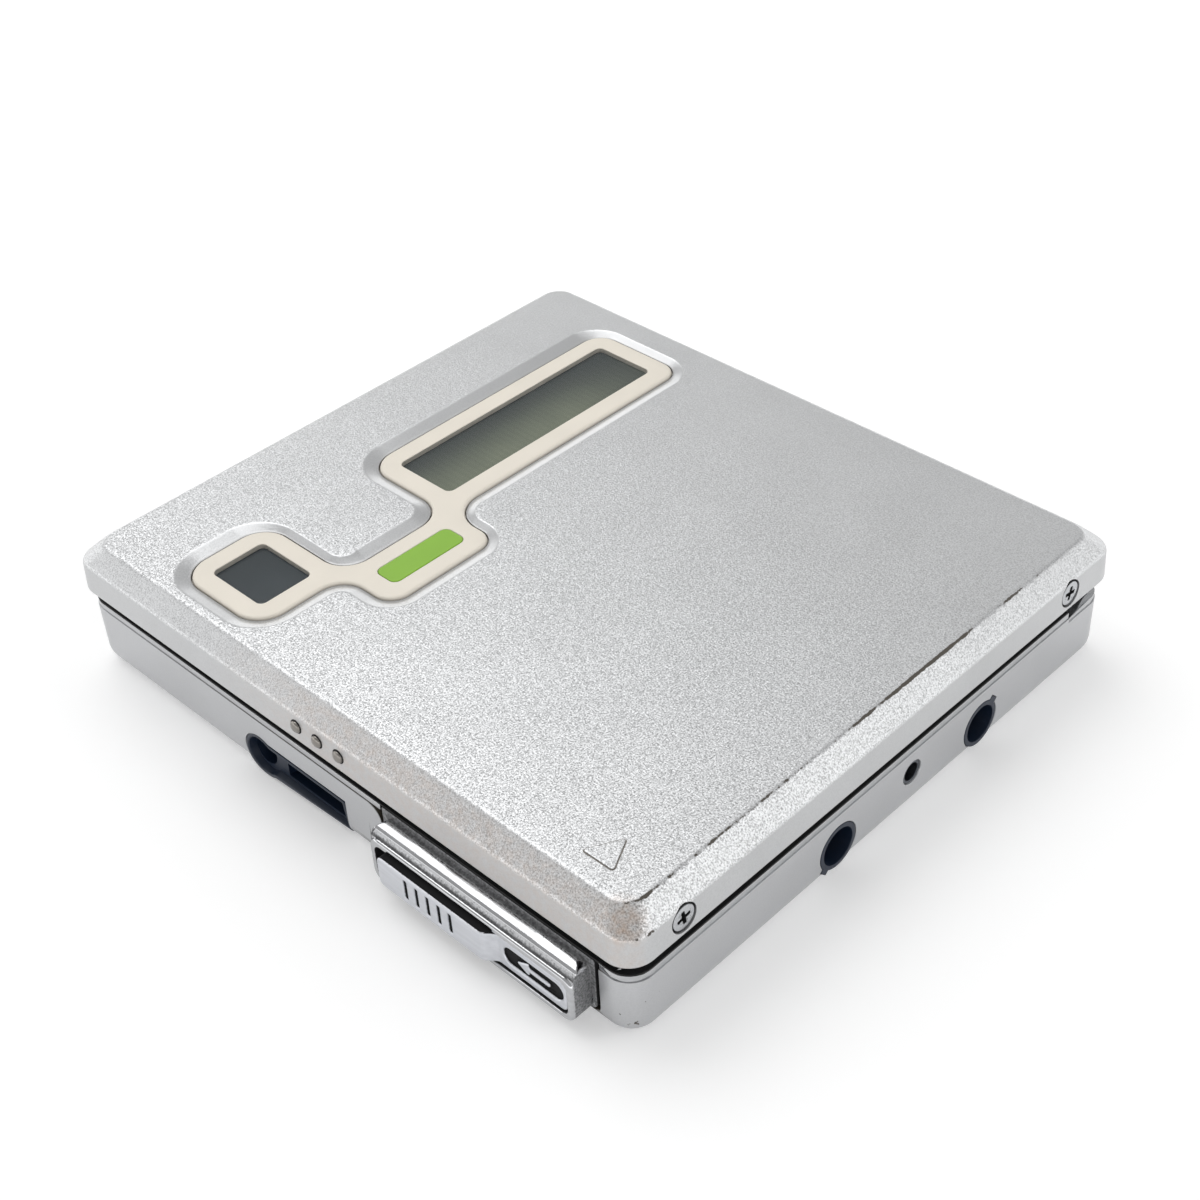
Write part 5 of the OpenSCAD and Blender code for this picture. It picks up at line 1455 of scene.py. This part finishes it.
    def jack(self) -> None:
        """Builds the black moulding of the jack and remote socket, with a rim that lines the opening."""
        front = Matrix(((1, 0, 0, 0), (0, 0, 1, -self.wall_y), (0, 1, 0, 0), (0, 0, 0, 1)))
        hole = self.keyhole()
        proud = -0.06
        lip = [hole.at(0.06)] + eased(hole.at(0.04), hole.at(proud), hole.at(proud, -0.1), 3)
        lip += [hole.at(proud, -0.3), hole.at(0.04, -0.42)]
        rings = [hole.at(1.3)] + [[p + self.foot(p) for p in r] for r in lip] + [hole.at(0.85, -0.58)]
        sketch = Sketch()
        sketch.solid([[front @ p for p in r] for r in rings])
        piece = sketch.piece("jack_moulding")
        half = self.slot_h / 2
        blocks = ((self.jack_x - 2.75, self.jack_x + 2.75, self.jack_z + 2.65, 14.35),
                  (self.jack_x + 1.0, self.slot_end + 0.4, self.jack_z + half + 0.2, 7.05))
        for left, right, high, deep in blocks:
            body = Sketch()
            body.prism(span_outline(left, right, 0.95, high, 0.2), 1.1, deep, 0.0, front)
            combine(piece, body.piece("jack_body"), "UNION")
        bores = Sketch()
        bores.prism(box_outline(self.jack_x, self.jack_z, 3.5, 3.5, 1.75), 0.3, 13.3, 0.0, front)
        half -= 0.9
        socket = span_outline(self.jack_x + 3.65, self.slot_end - 0.9, self.jack_z - half,
                              self.jack_z + half, 0.15)
        bores.prism(socket, 0.3, 5.85, 0.0, front)
        combine(piece, bores.piece("jack_bores"), "DIFFERENCE")
        mount(piece, BLACK_ABS, Body.BASE.value, "headphone_jack", sharp=30)

    def seam_shade(self) -> None:
        """Builds a black strip on the chrome rim, open round the hinge: painted shade for the seam between
        lid and base.
        """
        sketch = Sketch()
        low, high, width, inset = self.rim_top - 0.05, self.rim_top + 0.1, 0.95, 0.16
        path = box_outline(0, 0, 2 * (self.wall_x - inset), 2 * (self.wall_y - inset), 2.84)
        spots = ((low, 0.0), (high - 0.05, 0.0), (high, -0.05), (high, -width), (low, -width))
        sketch.hoop([path.at(z, grow) for z, grow in spots])
        for vert in sketch.mesh.verts:
            vert.co.z -= rim_drop(vert.co / MM) * MM
        piece = sketch.piece("dust_seal")
        gap = Sketch()
        gap.prism(box_outline(0, 40, 100, 2 * (40 - 30.9), 1.0, 3), 5, 15)
        combine(piece, gap.piece("hinge_gap"), "DIFFERENCE")
        mount(piece, RUBBER, Body.BASE.value, sharp=35)

    def outside(self, p: Vector) -> bool:
        """Tells whether an edge lies on the outside of the walls or on their upper rim."""
        return abs(p.x) > self.wall_x - 0.05 or abs(p.y) > self.wall_y - 0.05

    def band(self, p: Vector) -> bool:
        """Tells whether an edge lies on the chrome band's outside."""
        return abs(p.x) > self.wall_x - 0.2 or abs(p.y) > self.wall_y - 0.2


@dataclass
class Mechanism:
    """The inside: each solid keeps its shape and takes its finish; the two springs are wound."""

    wire: float = 0.16 * MM
    finishes: dict[str, Finish] = field(default_factory=lambda: {
        "inner_frame": BLACK_ABS, "latch_hook": SHEET_STEEL, "remote_contacts": BRASS,
        "terminal_contacts": BRASS, "battery": BATTERY_FILM, "battery_contact": SHEET_STEEL,
        "door_contact": SHEET_STEEL, "main_board": SOLDER_MASK, "board_chips": CHIP_EPOXY,
        "key_board": BLACK_MASK, "mechanism_deck": SHEET_STEEL, "deck_dampers": RUBBER,
        "damper_screws": TURNED_STEEL, "spindle_motor": SHEET_STEEL, "turntable": DARK_PPS,
        "guide_rod": TURNED_STEEL, "lead_screw": TURNED_STEEL, "sled_motor": SHEET_STEEL,
        "motor_pinion": BRASS, "sled": DARK_PPS, "laser_unit": BRASS, "objective_lens": LENS_GLASS,
        "hinge_pins": TURNED_STEEL, "lid_board": SOLDER_MASK, "disc_holder": SHEET_STEEL,
        "lid_catch": SHEET_STEEL})

    def build(self) -> None:
        """Dresses the inner solids and winds the springs."""
        for node, finish in self.finishes.items():
            solid = frame["nodes"][node]
            solid.data.materials.clear()
            solid.data.materials.append(finish.material())
        self.coil("lid_spring", 10)
        self.coil("slider_spring", 9)

    def coil(self, node: str, turns: int) -> None:
        """Winds a wire spring along X in the room of its CAD solid.

        Args:
            node: Name of the spring's node.
            turns: Number of turns.
        """
        low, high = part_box(node)
        spring = place_object(node + "_coil", bpy.data.meshes.new(node + "_coil"))
        run_tree(spring, coil_tree(node + "_tree"), {
            "Coil radius": (high.z - low.z) / 2 - self.wire, "Wire radius": self.wire, "Turns": float(turns),
            "Length": high.x - low.x - 2 * self.wire, "Finish": TURNED_STEEL.material()})
        middle = (low + high) / 2
        spring.data.transform(Matrix.Translation((low.x + self.wire, middle.y, middle.z))
                              @ Matrix.Rotation(QUARTER, 4, "Y"))
        spring.data.shade_smooth()
        mount(spring, TURNED_STEEL, frame["nodes"][node]["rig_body"], node)


@dataclass(frozen=True)
class Lamp:
    """A soft round lamp: the way it stands from the player, its size in metres and its power in watts."""

    name: str
    way: Point
    size: float
    power: float


@dataclass
class Studio:
    """White sweep, soft lamps and camera. The camera's place is in millimetres."""

    place: Point = (122.781, -116.163, 143.453)
    right: Point = (0.71735, 0.69525, -0.04506)
    down: Point = (0.41247, -0.47592, -0.77677)
    ahead: Point = (-0.5615, 0.53863, -0.62817)
    lens: float = 58.0446
    sensor: float = 36.0
    paper: Colour = (0.86, 0.86, 0.86, 1)
    paper_lift: float = 0.24
    lamp_distance: float = 0.9
    lights: tuple[Lamp, ...] = (Lamp("left_lamp", (-0.46, 0.07, 0.825), 0.8, 3.1),
                                Lamp("right_lamp", (0.72, 0.42, 0.56), 0.4, 0.85),
                                Lamp("front_lamp", (-0.8, -0.5, 0.42), 0.5, 0.3))

    def build(self) -> None:
        """Sets up the camera, the floor, the lamps and the world."""
        bpy.context.scene.view_settings.view_transform = "Standard"
        self.camera()
        self.floor()
        self.lamps()
        self.world()

    def camera(self) -> None:
        """Places the camera at the photograph's angle."""
        data = bpy.data.cameras.new("camera")
        data.lens = self.lens
        data.sensor_width = self.sensor
        data.clip_start = 0.01
        made = place_object("camera", data)
        turn = Matrix((Vector(self.right), -Vector(self.down), -Vector(self.ahead))).transposed().to_4x4()
        made.matrix_world = Matrix.Translation(Vector(self.place) * MM) @ turn
        bpy.context.scene.camera = made

    def floor(self) -> None:
        """Lays a white floor that keeps the shadow; the lift makes the paper white to the camera."""
        sketch = Sketch()
        sketch.fill(sketch.ring(box_outline(0, 0, 4000, 4000, 100).at(-0.02)))
        floor = sketch.piece("floor")
        made = bpy.data.materials.new("white_paper_sweep")
        made.use_nodes = True
        graph = Graph(made.node_tree)
        path = add_node(graph.tree, "ShaderNodeLightPath").outputs
        seen = graph.math("MAXIMUM", path["Is Camera Ray"], path["Is Transmission Ray"])
        lit = graph.math("MAXIMUM", seen, graph.product(path["Is Glossy Ray"], 0.7))
        graph.shade({"Base Color": self.paper, "Roughness": 0.9, "Specular IOR Level": 0.0,
                     "Emission Color": WHITE, "Emission Strength": graph.product(lit, self.paper_lift)})
        floor.data.materials.append(made)

    def lamps(self) -> None:
        """Hangs a large soft lamp at the left, a smaller one at the back right and a weak one in front."""
        for lamp in self.lights:
            data = bpy.data.lights.new(lamp.name, "AREA")
            data.shape = "DISK"
            data.size = lamp.size
            data.energy = lamp.power
            made = place_object(lamp.name, data)
            spot = Vector(lamp.way).normalized() * self.lamp_distance
            aim = (-spot).to_track_quat("-Z", "Y").to_matrix().to_4x4()
            made.matrix_world = Matrix.Translation(spot) @ aim

    def world(self) -> None:
        """Fills the room with soft light, white near the horizon as the paper is and dimmer above."""
        world = bpy.data.worlds.new("soft_room")
        bpy.context.scene.world = world
        world.use_nodes = True
        graph = Graph(world.node_tree)
        height = graph.split(graph.place("Generated"))[2]
        rise = graph.ramp(height, 0.12, 0.34, 2.1, 0.53, "SMOOTHSTEP")
        feed(graph.tree, graph.tree.nodes["Background"], {"Strength": rise, "Color": WHITE})


def main() -> None:
    """Builds the player around the frame."""
    logging.basicConfig(level=logging.INFO, format="%(message)s")
    Studio().build()
    Lid().build()
    FrontBar().build()
    BaseCase().build()
    Mechanism().build()


if __name__ == "__main__":
    main()
